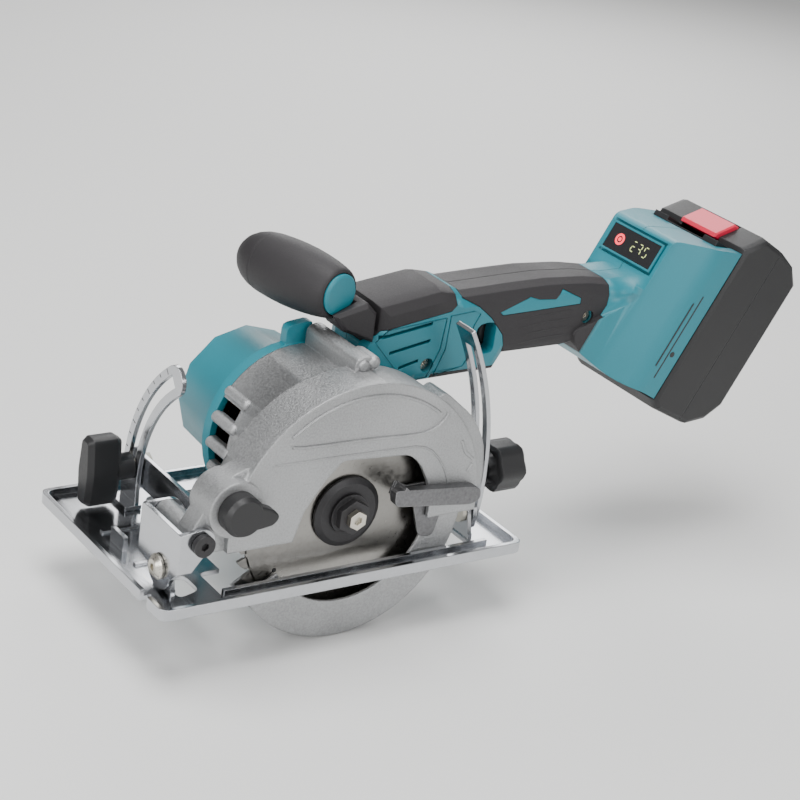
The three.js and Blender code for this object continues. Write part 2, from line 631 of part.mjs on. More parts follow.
function gearCover() {
  const plate = join(
    rodY(0, 0, CASE_R + 3, COVER_Y0, COVER_Y0 + COVER_T, 28),
    rodY(MOTOR_X, MOTOR_Z, 15, COVER_Y0, COVER_Y0 + COVER_T, 20),
  ).intersect(rodY(MOTOR_X, MOTOR_Z, DRUM_R - DRUM_WALL - GAP, COVER_Y0 - 1, COVER_Y0 + COVER_T + 1, 32));
  return cut(
    plate,
    rodY(0, 0, REAR_BEARING_R + GAP, COVER_Y0 - 1, COVER_Y0 + COVER_T + 1, 18),
    rodY(MOTOR_X, MOTOR_Z, MOTOR_BEARING_R + GAP, COVER_Y0 - 1, COVER_Y0 + COVER_T + 1, 18),
  );
}

// ------------------------------------------------------------------ blade, spindle and gears
const FLANGE_Y = HALF_T + GAP;
const CLAMP_Y = -FLANGE_Y - FLANGE_T;           // front of the outer flange
const NUT_T = 5.5;
const BLADE_BOLT_R = 3.5;

function sawBlade() {
  const shape = new THREE.Shape();
  const pitch = 360 / BLADE_TEETH;
  const tooth = [[-0.06, 0.925], [0, 1], [0.5, 0.96]];
  for (let i = 0; i < BLADE_TEETH; i += 1) {
    tooth.forEach(([share, height], k) => {
      const [u, v] = polar(BLADE_R * height, (i + share) * pitch);
      if (i + k === 0) shape.moveTo(u, v);
      else shape.lineTo(u, v);
    });
  }
  shape.closePath();
  return cut(slab(shape, 'XZ', -HALF_T, HALF_T), rodY(0, 0, BLADE_BORE_R, -HALF_T - 1, HALF_T + 1, 32));
}

function innerFlange() {
  return turnY(0, 0, [
    [SPINDLE_R + GAP, -HALF_T + 0.2],
    [BLADE_BORE_R - GAP, -HALF_T + 0.2],
    [BLADE_BORE_R - GAP, FLANGE_Y],
    [FLANGE_R, FLANGE_Y],
    [FLANGE_R, FLANGE_Y + FLANGE_T - 1],
    [FLANGE_R - 1, FLANGE_Y + FLANGE_T],
    [SPINDLE_R + GAP, FLANGE_Y + FLANGE_T],
    [SPINDLE_R + GAP, -HALF_T + 0.2],
  ], 24);
}

function outerFlange() {
  return turnY(0, 0, [
    [BLADE_BOLT_R + GAP, CLAMP_Y],
    [FLANGE_R - 3, CLAMP_Y],
    [FLANGE_R, CLAMP_Y + 1.6],
    [FLANGE_R, -FLANGE_Y],
    [BLADE_BOLT_R + GAP, -FLANGE_Y],
    [BLADE_BOLT_R + GAP, CLAMP_Y],
  ], 30);
}

function bladeNut() {
  const end = CLAMP_Y - GAP;
  return cut(
    join(rodY(0, 0, 9.4, end - NUT_T, end - 1, 6), rodY(0, 0, 11, end - 1.5, end, 28)),
    rodY(0, 0, BLADE_BOLT_R + GAP, end - NUT_T - 1, end + 1, 20),
  );
}

function bladeBolt() {
  const end = CLAMP_Y - 2 * GAP - NUT_T;
  return join(
    cut(rodY(0, 0, 5.2, end - 3.2, end, 6), rodY(0, 0, 2.4, end - 4, end - 1.4, 6)),
    rodY(0, 0, BLADE_BOLT_R, end - 0.5, 8, 20),
  );
}

function spindle() {
  return turnY(0, 0, [
    [BLADE_BOLT_R + GAP, -HALF_T + 0.4],
    [SPINDLE_R, -HALF_T + 0.4],
    [SPINDLE_R, CASE_END - 2],
    [STUB_R, CASE_END - 2],
    [STUB_R, COVER_Y0 + COVER_T - 0.5],
    [0, COVER_Y0 + COVER_T - 0.5],
    [0, 9],
    [BLADE_BOLT_R + GAP, 9],
    [BLADE_BOLT_R + GAP, -HALF_T + 0.4],
  ], 24);
}

// A plain spur gear; slack is taken off each flank and turn is the angle of its first tooth.
function gear(x, z, teeth, bore, y0, y1, turn) {
  const shape = new THREE.Shape();
  const pitchR = GEAR_MODULE * teeth / 2;
  const step = 360 / teeth;
  const slack = 0.06;
  const profile = [
    [-0.34 + slack, pitchR - 1.2 * GEAR_MODULE],
    [-0.12 + slack, pitchR + 0.8 * GEAR_MODULE],
    [0.12 - slack, pitchR + 0.8 * GEAR_MODULE],
    [0.34 - slack, pitchR - 1.2 * GEAR_MODULE],
  ];
  for (let i = 0; i < teeth; i += 1) {
    profile.forEach(([share, r], k) => {
      const [u, v] = polar(r, turn + (i + share) * step);
      if (i + k === 0) shape.moveTo(x + u, z + v);
      else shape.lineTo(x + u, z + v);
    });
  }
  shape.closePath();
  const blank = slab(shape, 'XZ', y0, y1);
  return bore > 0 ? cut(blank, rodY(x, z, bore, y0 - 1, y1 + 1, 24)) : blank;
}

// ------------------------------------------------------------------ rotor
const FAN_Y0 = COVER_Y0 + COVER_T + 4;
const FAN_T = 9;
const STATOR_Y0 = MOTOR_Y0 + 4;
const STATOR_L = 34;
const ROTOR_R = 13;
const TAIL_Y = STATOR_Y0 + STATOR_L + 4;
const BEARING_T = 6;

function motorShaft() {
  const y0 = GEAR_Y0;
  const pinion = gear(MOTOR_X, MOTOR_Z, PINION_TEETH, 0, y0, y0 + GEAR_WIDTH,
    MOTOR_ANGLE + 180 + 180 / PINION_TEETH);
  return join(pinion, rodY(MOTOR_X, MOTOR_Z, SHAFT_R, y0 + GEAR_WIDTH - 1, TAIL_Y + BEARING_T + 1, 16));
}

function fan() {
  const hub = rodY(MOTOR_X, MOTOR_Z, 9, FAN_Y0, FAN_Y0 + FAN_T, 24);
  const disc = rodY(MOTOR_X, MOTOR_Z, FAN_R, FAN_Y0, FAN_Y0 + 1.6, 28);
  const vanes = [];
  const vaneCount = 9;
  for (let i = 0; i < vaneCount; i += 1) {
    const geometry = new THREE.BoxGeometry(FAN_R - 13, FAN_T - 1, 1.4);
    geometry.translate((FAN_R + 11) / 2, 0, 0);
    geometry.rotateY(2 * Math.PI * i / vaneCount);
    vanes.push(solid(geometry.translate(MOTOR_X, FAN_Y0 + 1 + (FAN_T - 1) / 2, MOTOR_Z)));
  }
  const bore = rodY(MOTOR_X, MOTOR_Z, SHAFT_R + GAP, FAN_Y0 - 1, FAN_Y0 + FAN_T + 1, 16);
  return cut(join(hub, disc, ...vanes), bore);
}

// ------------------------------------------------------------------ lower guard and its lever
const LOWER_FROM = 212;
const LOWER_TO = 375;

function lowerGuard() {
  const part = (inner, outer, y0, y1) =>
    slab(sector(0, 0, inner, outer, LOWER_FROM, LOWER_TO), 'XZ', y0, y1, { curve: 20 });
  return join(
    part(LOWER_LIP_R, LOWER_R, -LOWER_HALF, -LOWER_HALF + LOWER_WALL),
    part(LOWER_R - LOWER_WALL, LOWER_R, -LOWER_HALF, LOWER_HALF),
    part(HUB_R + 3, LOWER_R, LOWER_HALF - LOWER_WALL, LOWER_HALF),
    ringY(0, 0, HUB_R + RUN, HUB_R + 6, LOWER_HALF - LOWER_WALL, LOWER_HALF, 36),
  );
}

function liftLever() {
  const tongueY = -LOWER_HALF - GAP;
  const barY = NEAR_FACE - 6;
  const tongue = slab(outline([
    [LOWER_R - 6.5, 3, 2],
    [LOWER_R - 8.5, 14, 2],
    [30, 13],
    [22, 17],
    [20, 10],
    [36, 1],
    [LOWER_R - 25.5, SOLE_Z + 14.5, 3],
    [LOWER_R - 16.5, SOLE_Z + 13.5, 3],
    [LOWER_R - 13.5, SOLE_Z + 26.5, 3],
  ]), 'XZ', tongueY - 1.2, tongueY, { curve: 2 });
  const bend = slab(outline([
    [20.5, 9],
    [28, 6],
    [29, 12],
    [23.5, 17],
  ]), 'XZ', barY, tongueY - 0.5);
  const bar = slab(outline([
    [17, 16, 3],
    [18, 7, 3],
    [UPPER_R - 7.5, 1, 4],
    [UPPER_R - 2.5, 3, 2],
    [UPPER_R - 2.5, 9, 3],
    [UPPER_R - 7.5, 11, 3],
  ]), 'XZ', barY, NEAR_FACE - 1, { curve: 3 });
  return join(tongue, bend, bar);
}

function frontLever() {
  const y1 = NEAR_FACE - 2 - GAP;
  return join(
    rodY(LEVER_X, LEVER_Z, 9, y1 - 9.5, y1 - 7, 28, 10.5),
    rodY(LEVER_X, LEVER_Z, 10.5, y1 - 7, y1, 28),
    rodY(LEVER_X, LEVER_Z, LEVER_HOLE_R - GAP, y1 - 1, NEAR_FACE + 4.5, 16),
    slab(outline([
      [LEVER_X, LEVER_Z - 9],
      [LEVER_X + 17, LEVER_Z - 7, 3],
      [LEVER_X + 20, LEVER_Z - 3, 2],
      [LEVER_X + 17, LEVER_Z + 1, 3],
      [LEVER_X, LEVER_Z + 8],
    ]), 'XZ', y1 - 8, y1 - 1, { out: 1, curve: 3 }),
  );
}

// ------------------------------------------------------------------ moulded housing and handle
const HANDLE_Y0 = HANDLE_Y - HANDLE_W / 2;
const HANDLE_Y1 = HANDLE_Y + HANDLE_W / 2;
const FOOT_HALF = FOOT_W / 2;
const packFrame = new THREE.Matrix4().makeTranslation(PACK_X, HANDLE_Y, PACK_Z)
  .multiply(new THREE.Matrix4().makeRotationY(rad(PACK_TILT)));

// Place of a point of the pack's own frame (n across the joint, l along the slide) in the saw.
function fromPack(n, l) {
  const point = new THREE.Vector3(n, 0, l).applyMatrix4(packFrame);
  return [point.x, point.z];
}

function localBox(n0, n1, y0, y1, l0, l1) {
  const geometry = new THREE.BoxGeometry(n1 - n0, y1 - y0, l1 - l0);
  geometry.translate((n0 + n1) / 2, (y0 + y1) / 2, (l0 + l1) / 2);
  return solid(geometry.applyMatrix4(packFrame));
}

const handlePoints = [
  [MOTOR_X + 27, 60],
  [MOTOR_X + 38, 44],
  [56, 47],
  [108, 48.5],
  [113, 57],
  [152, 57],
  fromPack(-50, -36),
  fromPack(-22, -20),
  fromPack(-22, 8),
  fromPack(-40, 6),
  [185, 92],
  [164, 95.2],
  [137, 96.6],
  [110, 96],
  [82, 95],
  [76, 97.5],
  [66, 99.5],
  [28, 94],
  [27.5, 80],
  [23, 72],
];

const footPoints = [
  [...fromPack(-66, -38), 5],
  [...fromPack(-57, -45), 5],
  [...fromPack(-30, -48.5), 8],
  [...fromPack(-11, -46), 3],
  fromPack(0, -46),
  fromPack(0, 47),
  [...fromPack(-22, 40), 8],
  [...fromPack(-FOOT_T, 33), 4],
  [...fromPack(-FOOT_T, -4), 6],
];

// Plan of the foot: narrow where it meets the grip, full width along the pack.
function footPlan(inset) {
  const shape = outline([
    [-80, -19 + inset],
    [-FOOT_T, -24 + inset, 6],
    [-17, -FOOT_HALF + inset, 6],
    [1, -FOOT_HALF + inset],
    [1, FOOT_HALF - inset],
    [-17, FOOT_HALF - inset, 6],
    [-FOOT_T, 24 - inset, 6],
    [-80, 19 - inset],
  ]);
  const geometry = new THREE.ExtrudeGeometry(shape, { depth: 160, bevelEnabled: false, curveSegments: 3 });
  return solid(geometry.translate(0, 0, -80).applyMatrix4(packFrame));
}

// The whole outside of handle and foot, moved in by a wall.
function handleBody(inset) {
  const round = { out: 7, along: 8, steps: 2 };
  const grip = slab(outline(shrink(handlePoints, inset)), 'XZ', HANDLE_Y0 + inset, HANDLE_Y1 - inset, round);
  const foot = slab(outline(shrink(footPoints, inset)), 'XZ', HANDLE_Y - FOOT_HALF - 4,
    HANDLE_Y + FOOT_HALF + 4, { curve: 3 }).intersect(footPlan(inset));
  return join(grip, foot);
}

const fingerHole = (grow) => slab(outline([
  [FINGER[0] - grow, FINGER[2] - grow, 5],
  [FINGER[1] + grow, FINGER[2] - grow, 3],
  [FINGER[1] + grow, FINGER[3] + grow, 4],
  [FINGER[0] - grow, FINGER[3] + grow, 6],
]), 'XZ', HANDLE_Y0 - 3, HANDLE_Y1 + 3, { curve: 3 });

// Outlines seen from the side: rubber grip, its teal inlay, and the black top cover.
const across = (points, grow) =>
  slab(outline(shrink(points, -grow)), 'XZ', HANDLE_Y0 - 3, HANDLE_Y1 + 3);
const gripArea = (grow) => cut(
  across([
    [76, 112], [80, 93], [91, 87.6], [100, 80.5], [109, 70], [113, 54], [116, 52],
    [160, 52], [168, 64], [178, 80], [179, 92], [172, 112],
  ], grow),
  across([
    [105, 83], [124, 90], [130, 88], [141.5, 87], [146, 92], [159, 86], [159, 82.5], [107, 81],
  ], -grow),
);
const coverArea = (grow) => across([
  [10, 120], [10, 66], [23, 72.5], [31, 80], [73, 87], [76, 90], [72.5, 112],
], grow);

function motorOutside() {
  const corner = 1 / Math.cos(Math.PI / MOTOR_SIDES);
  const ring = turnY(MOTOR_X, MOTOR_Z, [
    [0, MOTOR_Y0],
    [DRUM_R, MOTOR_Y0],
    [DRUM_R, MOTOR_Y0 + RING_T - 1.5],
    [DRUM_R - 1.5, MOTOR_Y0 + RING_T],
    [MOTOR_R - 1, MOTOR_Y0 + RING_T + 4],
    [0, MOTOR_Y0 + RING_T + 4],
  ], 48);
  const can = turnY(MOTOR_X, MOTOR_Z, [
    [0, MOTOR_Y0 + 1],
    [(MOTOR_R + 1) * corner, MOTOR_Y0 + 1],
    [MOTOR_R * corner, MOTOR_Y0 + RING_T + 5],
    [(MOTOR_END_R + 2) * corner, MOTOR_Y1 - 6],
    [(MOTOR_END_R - 3) * corner, MOTOR_Y1],
    [0, MOTOR_Y1],
  ], MOTOR_SIDES);
  return join(ring, can);
}

function motorInside() {
  return turnY(MOTOR_X, MOTOR_Z, [
    [0, MOTOR_Y0 - 1],
    [DRUM_R - DRUM_WALL, MOTOR_Y0 - 1],
    [DRUM_R - DRUM_WALL, MOTOR_Y0 + RING_T - 2.5],
    [MOTOR_R - SHELL, MOTOR_Y0 + RING_T + 2.5],
    [MOTOR_END_R - SHELL, MOTOR_Y1 - 5],
    [MOTOR_END_R - 4 - SHELL, MOTOR_Y1 - SHELL],
    [0, MOTOR_Y1 - SHELL],
  ], 24);
}

function shells() {
  const outside = handleBody(0);
  const under = handleBody(SKIN + GAP);
  const finger = fingerHole(0);
  const room = cut(handleBody(SKIN + GAP + SHELL), fingerHole(SHELL));
  const soft = join(gripArea(GAP), coverArea(GAP));
  const socket = localBox(-12.3, 2, -27, 27, -43.5, 60);
  const socketWall = localBox(-15, 0, -29.5, 29.5, -43.6, 40).intersect(under);
  const terminals = localBox(-16, -12, -11, 11, -35, -10);
  const displaySeat = localBox(-FOOT_T - 4, -FOOT_T + 2.5, -22, 22, 10, 30);
  const trigger = box(FINGER[1] - 3, 118, HANDLE_Y - TRIGGER_HALF - RUN, HANDLE_Y + TRIGGER_HALF + RUN,
    FINGER[2] + 0.2, FINGER[3] - 0.2);
  const screwPosts = SCREWS.map(([x, z]) => rodY(x, z, 4.2, HANDLE_Y0 + 4, HANDLE_Y1 - 4, 14));
  const pad = box(66, 109, HANDLE_Y0 - 1, HANDLE_Y1 + 1, 40, PAD_TOP + GAP);
  const hollow = cut(room, socketWall, ...screwPosts);
  const both = cut(
    join(cut(outside, soft), under),
    hollow, finger, trigger, socket, terminals, displaySeat, pad,
  );

  const screwHoles = SCREWS.flatMap(([x, z]) => [
    rodY(x, z, SCREW_R + GAP, HANDLE_Y0 - 1, HANDLE_Y1 - 8, 12),
    rodY(x, z, 4, HANDLE_Y0 - 1, HANDLE_Y0 + 6, 14),
  ]);
  const ventSlots = [[30, 75.5, 62, 80.5], [37, 66.5, 62, 71], [44, 57.5, 56, 60.5]].map(([x0, z0, x1, z1]) =>
    slab(outline([[x0, z0], [x1, z1], [x1, z1 + 1.8], [x0, z0 + 1.8]]), 'XZ', HANDLE_Y0 - 2, HANDLE_Y0 + 9));
  const left = cut(
    both.intersect(leftOf(HANDLE_Y - SPLIT)),
    rodY(MOTOR_X, MOTOR_Z, DRUM_R + GAP, 0, HANDLE_Y, 48),
    ...screwHoles, ...ventSlots,
  );

  const motorRoom = motorInside();
  const ribs = [45, 135, 225, 315].map((angle) => {
    const [u, v] = polar(STATOR_R + 4.8, angle);
    const geometry = new THREE.BoxGeometry(9, 26, 3).rotateY(-rad(angle));
    return solid(geometry.translate(MOTOR_X + u, STATOR_Y0 + 4 + 13, MOTOR_Z + v));
  });
  const bearingSeat = ringY(MOTOR_X, MOTOR_Z, MOTOR_BEARING_R + GAP, MOTOR_BEARING_R + 3.2,
    TAIL_Y - 1, MOTOR_Y1 - 1, 24);
  const intake = [];
  const intakeCount = 8;
  for (let i = 0; i < intakeCount; i += 1) {
    const geometry = new THREE.BoxGeometry(13, 8, 3.2).translate(21, 0, 0);
    geometry.rotateY(2 * Math.PI * i / intakeCount);
    intake.push(solid(geometry.translate(MOTOR_X, MOTOR_Y1, MOTOR_Z)));
  }
  const ear = slab(outline([
    [MOTOR_X - 7, RIB_Z - 6, 3],
    [MOTOR_X + 8, RIB_Z - 6, 3],
    [MOTOR_X + 8, RIB_Z + 11, 3],
    [MOTOR_X - 7, RIB_Z + 9, 3],
  ]), 'XZ', MOTOR_Y0 + 2, MOTOR_Y0 + RING_T - 0.5, { curve: 2 });
  const can = join(
    cut(motorOutside(), motorRoom),
    ...ribs.map((rib) => rib.intersect(motorOutside())),
    bearingSeat,
    ear.subtract(motorRoom),
  );
  const right = cut(
    join(can, cut(both.intersect(rightOf(HANDLE_Y + SPLIT)), rodY(MOTOR_X, MOTOR_Z, DRUM_R + GAP, 0,
      MOTOR_Y0 - GAP / 2, 48), motorRoom)),
    rodY(BUTTON_X, BUTTON_Z, BUTTON_R + GAP, HANDLE_Y + 4, HANDLE_Y1 + 3, 20),
    ...SCREWS.map(([x, z]) => rodY(x, z, SCREW_R + GAP, HANDLE_Y - 1, HANDLE_Y1 - 8, 12)),
    ...intake,
  );
  return { left, right, outside, under, finger };
}

function softParts({ outside, under, finger }) {
  const skin = cut(outside, handleBody(SKIN));
  const seam = rodY(MOTOR_X, MOTOR_Z, DRUM_R + GAP, 0, MOTOR_Y0 + RING_T + GAP, 48);
  const motor = motorOutside();
  const rubberSkin = cut(skin.intersect(gripArea(0)), finger, motor,
    rodY(BUTTON_X, BUTTON_Z, BUTTON_R + GAP, HANDLE_Y + 4, HANDLE_Y1 + 3, 20),
    box(FINGER[0], 118, HANDLE_Y - TRIGGER_HALF - RUN, HANDLE_Y + TRIGGER_HALF + RUN, FINGER[2], FINGER[3]));
  const heads = SCREWS.map(([x, z]) => rodY(x, z, 4, HANDLE_Y0 - 1, HANDLE_Y0 + 6, 14));
  return {
    gripLeft: cut(rubberSkin.intersect(leftOf(HANDLE_Y - SPLIT)), ...heads),
    gripRight: rubberSkin.intersect(rightOf(HANDLE_Y + SPLIT)),
    cover: cut(skin.intersect(coverArea(0)), seam, motor),
  };
}

function undersidePad(outside) {
  return cut(
    outside.intersect(box(66 + GAP, 109 - GAP, HANDLE_Y0, HANDLE_Y1, 40, PAD_TOP)),
    fingerHole(0),
    rodY(MOTOR_X, MOTOR_Z, DRUM_R + 1, 0, HANDLE_Y1 + 1, 48),
  );
}

// Screws enter from the blade side, in line with the posts inside the shells.
function shellScrew([x, z]) {
  return join(
    cut(
      rodY(x, z, SCREW_HEAD_R, HANDLE_Y0 + 3.6, HANDLE_Y0 + 5.8, 16),
      rodY(x, z, SCREW_R - 0.1, HANDLE_Y0 + 3, HANDLE_Y0 + 4.8, 6),
    ),
    rodY(x, z, SCREW_R, HANDLE_Y0 + 5.5, HANDLE_Y1 - 9, 12),
  );
}

// ------------------------------------------------------------------ switch gear
function triggerBlade() {
  return slab(outline([
    [FINGER[1] - 2.6, 66, 2],
    [FINGER[1] - 1.4, FINGER[2] + 0.9, 2],
    [FINGER[1] + 8, FINGER[2] + 0.9],
    [FINGER[1] + 8, FINGER[3] - 0.9],
    [FINGER[1] - 0.4, FINGER[3] - 0.9, 2],
    [FINGER[1] - 2.6, 72, 2],
  ]), 'XZ', HANDLE_Y - TRIGGER_HALF, HANDLE_Y + TRIGGER_HALF, { out: 1, curve: 2 });
}

function switchBlock() {
  return join(
    box(119.5, 138, HANDLE_Y - 8, HANDLE_Y + 8, 62.5, 76),
    box(118.5, 120, HANDLE_Y - 2.5, HANDLE_Y + 2.5, 66, 71),
  );
}

function lockOffButton() {
  return join(
    rodY(BUTTON_X, BUTTON_Z, BUTTON_R, HANDLE_Y + 8, HANDLE_Y1 + 1, 20),
    rodY(BUTTON_X, BUTTON_Z, BUTTON_R, HANDLE_Y1 + 0.9, HANDLE_Y1 + 2, 20, BUTTON_R - 1),
  );
}

// ------------------------------------------------------------------ front handle

function auxPart(profile) {
  const points = profile.map(([r, y]) => new THREE.Vector2(r, y));
  const geometry = new THREE.LatheGeometry(points, 28);
  return solid(geometry.rotateZ(rad(AUX_LEAN)).translate(AUX_X, AUX_Y0, AUX_Z));
}

// Narrow at its root, widest past the middle, with a round far end.
function auxHandle(grow = 0) {
  return auxPart([
    [0, -grow],
    [AUX_R - 5.2 + grow, -grow],
    [AUX_R - 3.4 + grow, 2.4],
    [AUX_R - 1.4 + grow, 12],
    [AUX_R + grow, 26],
    [AUX_R + grow, AUX_L - 28],
    [AUX_R - 1 + grow, AUX_L - 16],
    [AUX_R - 4 + grow, AUX_L - 7],
    [AUX_R - 8 + grow, AUX_L - 2],
    [0, AUX_L + grow],
  ]);
}

function auxCap() {
  return auxPart([
    [0, -2.4],
    [AUX_R - 6.4, -2.4],
    [AUX_R - 5.4, -GAP],
    [0, -GAP],
  ]);
}

function auxNeck() {
  const neck = slab(outline([
    [MOTOR_X + 13, RIB_Z + 12],
    [27, RIB_Z + 4],
    [27, 90],
    [21, 96],
    [MOTOR_X + 6, 91],
  ]), 'XZ', HANDLE_Y0, HANDLE_Y0 + 19, { out: 2 });
  return cut(
    neck,
    auxHandle(GAP),
    auxPart([[0, -2.4 - GAP], [AUX_R - 5.2 + GAP, -2.4 - GAP], [AUX_R - 5.2 + GAP, 1], [0, 1]]),
    handleBody(-GAP),
  );
}

// ------------------------------------------------------------------ battery pack, in its own frame
const PACK_BACK = PACK_L - PACK_LOW;
const PACK_HALF = PACK_W / 2;

const packPoints = [
  [GAP, -47],
  [7, -51],
  [34, -50],
  [46, -42],
  [PACK_T, -30],
  [PACK_T, PACK_BACK - 12],
  [43, PACK_BACK - 3.5],
  [30, PACK_BACK - 0.5],
  [12, PACK_BACK],
  [GAP, PACK_BACK - 11.5],
];

function packShell(low, high) {
  const outer = slab(outline(packPoints), 'XZ', -PACK_HALF, PACK_HALF, {
    out: 3, along: 5, steps: 2, curve: 2,
  });
  const inner = slab(outline(shrink(packPoints, SHELL)), 'XZ', -PACK_HALF + SHELL, PACK_HALF - SHELL, {
    out: 3, along: 4, steps: 1, curve: 2,
  });
  return cut(outer, inner).intersect(box(low, high, -80, 80, -80, 80));
}

function batteryUpper() {
  const rail = box(-11.8, SHELL, -26.5, 26.5, -43, PACK_BACK - 15);
  const slot = box(-12.5, -3.4, -11.5, 11.5, -44, 8);
  const latchSeat = box(-13, 12, -LATCH_HALF - RUN, LATCH_HALF + RUN, PACK_BACK - 17.5, PACK_BACK + 2);
  return cut(join(packShell(0, PACK_SPLIT - SPLIT), rail), slot, latchSeat);
}

function batteryLower() {
  return packShell(PACK_SPLIT + SPLIT, PACK_T + 1);
}

function batteryLatch() {
  return slab(outline([
    [-3, PACK_BACK - 13.5],
    [11, PACK_BACK - 13.5],
    [11, PACK_BACK - 1],
    [7, PACK_BACK - 1],
    [-3, PACK_BACK - 11],
  ]), 'XZ', -LATCH_HALF, LATCH_HALF, { out: 0.8 });
}

function batteryCells() {
  const cells = [];
  const deep = 37.8;                // middle of the cells behind the joint
  const pitch = 19;
  const half = 32.5;
  for (const step of [-1.5, -0.5, 0.5, 1.5]) {
    cells.push(rodY(deep, step * pitch, CELL_R, -half, half, 12));
  }
  const holder = box(27, 29.8, -30, 30, -36, 36);
  return join(holder, ...cells);
}

// ------------------------------------------------------------------ assembly
const saw = new THREE.Group();
saw.name = 'circular_saw';

function group(parent, name) {
  const made = new THREE.Group();
  made.name = name;
  parent.add(made);
  return made;
}

const base = group(saw, 'base');
piece(base, 'base_plate', basePlate(), plated);
piece(base, 'bevel_quadrant', quadrant(), plated);

const frame = group(saw, 'tilting_frame');
piece(frame, 'front_bracket', frontBracket(), plated);
piece(frame, 'bevel_pivot_screw', bevelPivotScrew(), boltSteel);
piece(frame, 'rear_bracket', rearBracket(), plated);
piece(frame, 'rear_pivot_pin', rearPin(), boltSteel);
piece(frame, 'depth_strip', depthStrip(), plated);
piece(frame, 'depth_pivot_screw', depthPivotScrew(), darkSteel);
piece(frame, 'bevel_lock_nut', bevelNut(), boltSteel);

const lock = group(frame, 'bevel_lock');
piece(lock, 'bevel_knob', bevelKnob(), blackPlastic);
piece(lock, 'bevel_knob_bolt', bevelBolt(), boltSteel);

const body = group(frame, 'saw_body');
piece(body, 'upper_guard', upperGuard(), castSilver);
piece(body, 'gear_cover', gearCover(), castSilver);
piece(body, 'spindle_bearing_front',
  ringY(0, 0, SPINDLE_R + 0.15, BEARING_R, BOSS_Y0 + 1.6, BOSS_Y0 + 7, 16), bearingSteel);
piece(body, 'spindle_bearing_rear',
  ringY(0, 0, STUB_R + 0.15, REAR_BEARING_R, COVER_Y0 + 0.2, COVER_Y0 + COVER_T - 0.2, 16), bearingSteel);
piece(body, 'motor_bearing_front', ringY(MOTOR_X, MOTOR_Z, SHAFT_R + 0.15, MOTOR_BEARING_R,
  COVER_Y0 + 0.2, COVER_Y0 + COVER_T - 0.2, 16), bearingSteel);
piece(body, 'motor_bearing_rear', ringY(MOTOR_X, MOTOR_Z, SHAFT_R + 0.15, MOTOR_BEARING_R,
  TAIL_Y, TAIL_Y + BEARING_T, 16), bearingSteel);
piece(body, 'stator', ringY(MOTOR_X, MOTOR_Z, ROTOR_R + RUN, STATOR_R,
  STATOR_Y0, STATOR_Y0 + STATOR_L, 20), copper);
piece(body, 'guard_spring',
  ringY(0, 0, HUB_R + RUN, HUB_R + 4, LOWER_HALF + 0.4, UPPER_HALF - 0.4, 20), darkSteel);

const made = shells();
const soft = softParts(made);
piece(body, 'housing_left', made.left, teal);
piece(body, 'housing_right', made.right, teal);
piece(body, 'grip_left', soft.gripLeft, rubber);
piece(body, 'grip_right', soft.gripRight, rubber);
piece(body, 'upper_cover', soft.cover, rubber);
piece(body, 'underside_pad', undersidePad(made.outside), rubber);
SCREWS.forEach((place, i) => piece(body, `housing_screw_${i + 1}`, shellScrew(place), boltSteel));
piece(body, 'trigger_switch', switchBlock(), blackPlastic);
piece(body, 'controller_board', localBox(-26, -24, -20, 20, -32, 2), board);
piece(body, 'terminal_block', localBox(-15.5, -4, -10, 10, -34, -12), blackPlastic);
piece(body, 'display_panel', localBox(-FOOT_T - 1.2, -FOOT_T + 2.2, -21, 21, 11, 29), blackPlastic);
piece(body, 'aux_handle', auxHandle(), rubber);
piece(body, 'aux_cap', auxCap(), teal);
piece(body, 'aux_neck', auxNeck(), rubber);

const triggerGroup = group(body, 'trigger_group');
piece(triggerGroup, 'trigger', triggerBlade(), blackPlastic);
const buttonGroup = group(body, 'lock_off_group');
piece(buttonGroup, 'lock_off_button', lockOffButton(), blackPlastic);
const depthLock = group(body, 'depth_lock');
piece(depthLock, 'depth_knob', depthKnob(), blackPlastic);
piece(depthLock, 'depth_knob_bolt', depthBolt(), boltSteel);
const leverGroup = group(body, 'front_lever_group');
piece(leverGroup, 'front_lever', frontLever(), blackPlastic);

const bladeGroup = group(body, 'blade_group');
piece(bladeGroup, 'saw_blade', sawBlade(), bladeSteel);
piece(bladeGroup, 'inner_flange', innerFlange(), darkSteel);
piece(bladeGroup, 'outer_flange', outerFlange(), darkSteel);
piece(bladeGroup, 'blade_nut', bladeNut(), darkSteel);
piece(bladeGroup, 'blade_bolt', bladeBolt(), boltSteel);
piece(bladeGroup, 'spindle', spindle(), bearingSteel);
piece(bladeGroup, 'spindle_gear', gear(0, 0, GEAR_TEETH, SPINDLE_R + 0.1, GEAR_Y0, GEAR_Y0 + GEAR_WIDTH,
  MOTOR_ANGLE), darkSteel);

const rotorGroup = group(body, 'rotor_group');
piece(rotorGroup, 'motor_shaft', motorShaft(), bearingSteel);
piece(rotorGroup, 'rotor_core',
  ringY(MOTOR_X, MOTOR_Z, SHAFT_R + 0.1, ROTOR_R, STATOR_Y0 + 1, STATOR_Y0 + STATOR_L - 1, 16), darkSteel);
piece(rotorGroup, 'cooling_fan', fan(), greyPlastic);

const guardGroup = group(body, 'lower_guard_group');
piece(guardGroup, 'lower_guard', lowerGuard(), castSilver);
piece(guardGroup, 'lift_lever', liftLever(), plated);

const pack = group(body, 'battery');
pack.position.set(PACK_X, HANDLE_Y, PACK_Z);
pack.rotation.y = rad(PACK_TILT);
piece(pack, 'battery_upper_case', batteryUpper(), greyPlastic);
piece(pack, 'battery_lower_case', batteryLower(), greyPlastic);
piece(pack, 'battery_cells', batteryCells(), copper);
const latchGroup = group(pack, 'latch_group');
piece(latchGroup, 'battery_latch', batteryLatch(), red);

const part = new THREE.Group();
part.name = 'cordless_circular_saw';
saw.position.set(-(BASE_X0 + OPEN_X0) / 2, -HANDLE_Y, -SOLE_Z);
part.add(saw);

export default part;
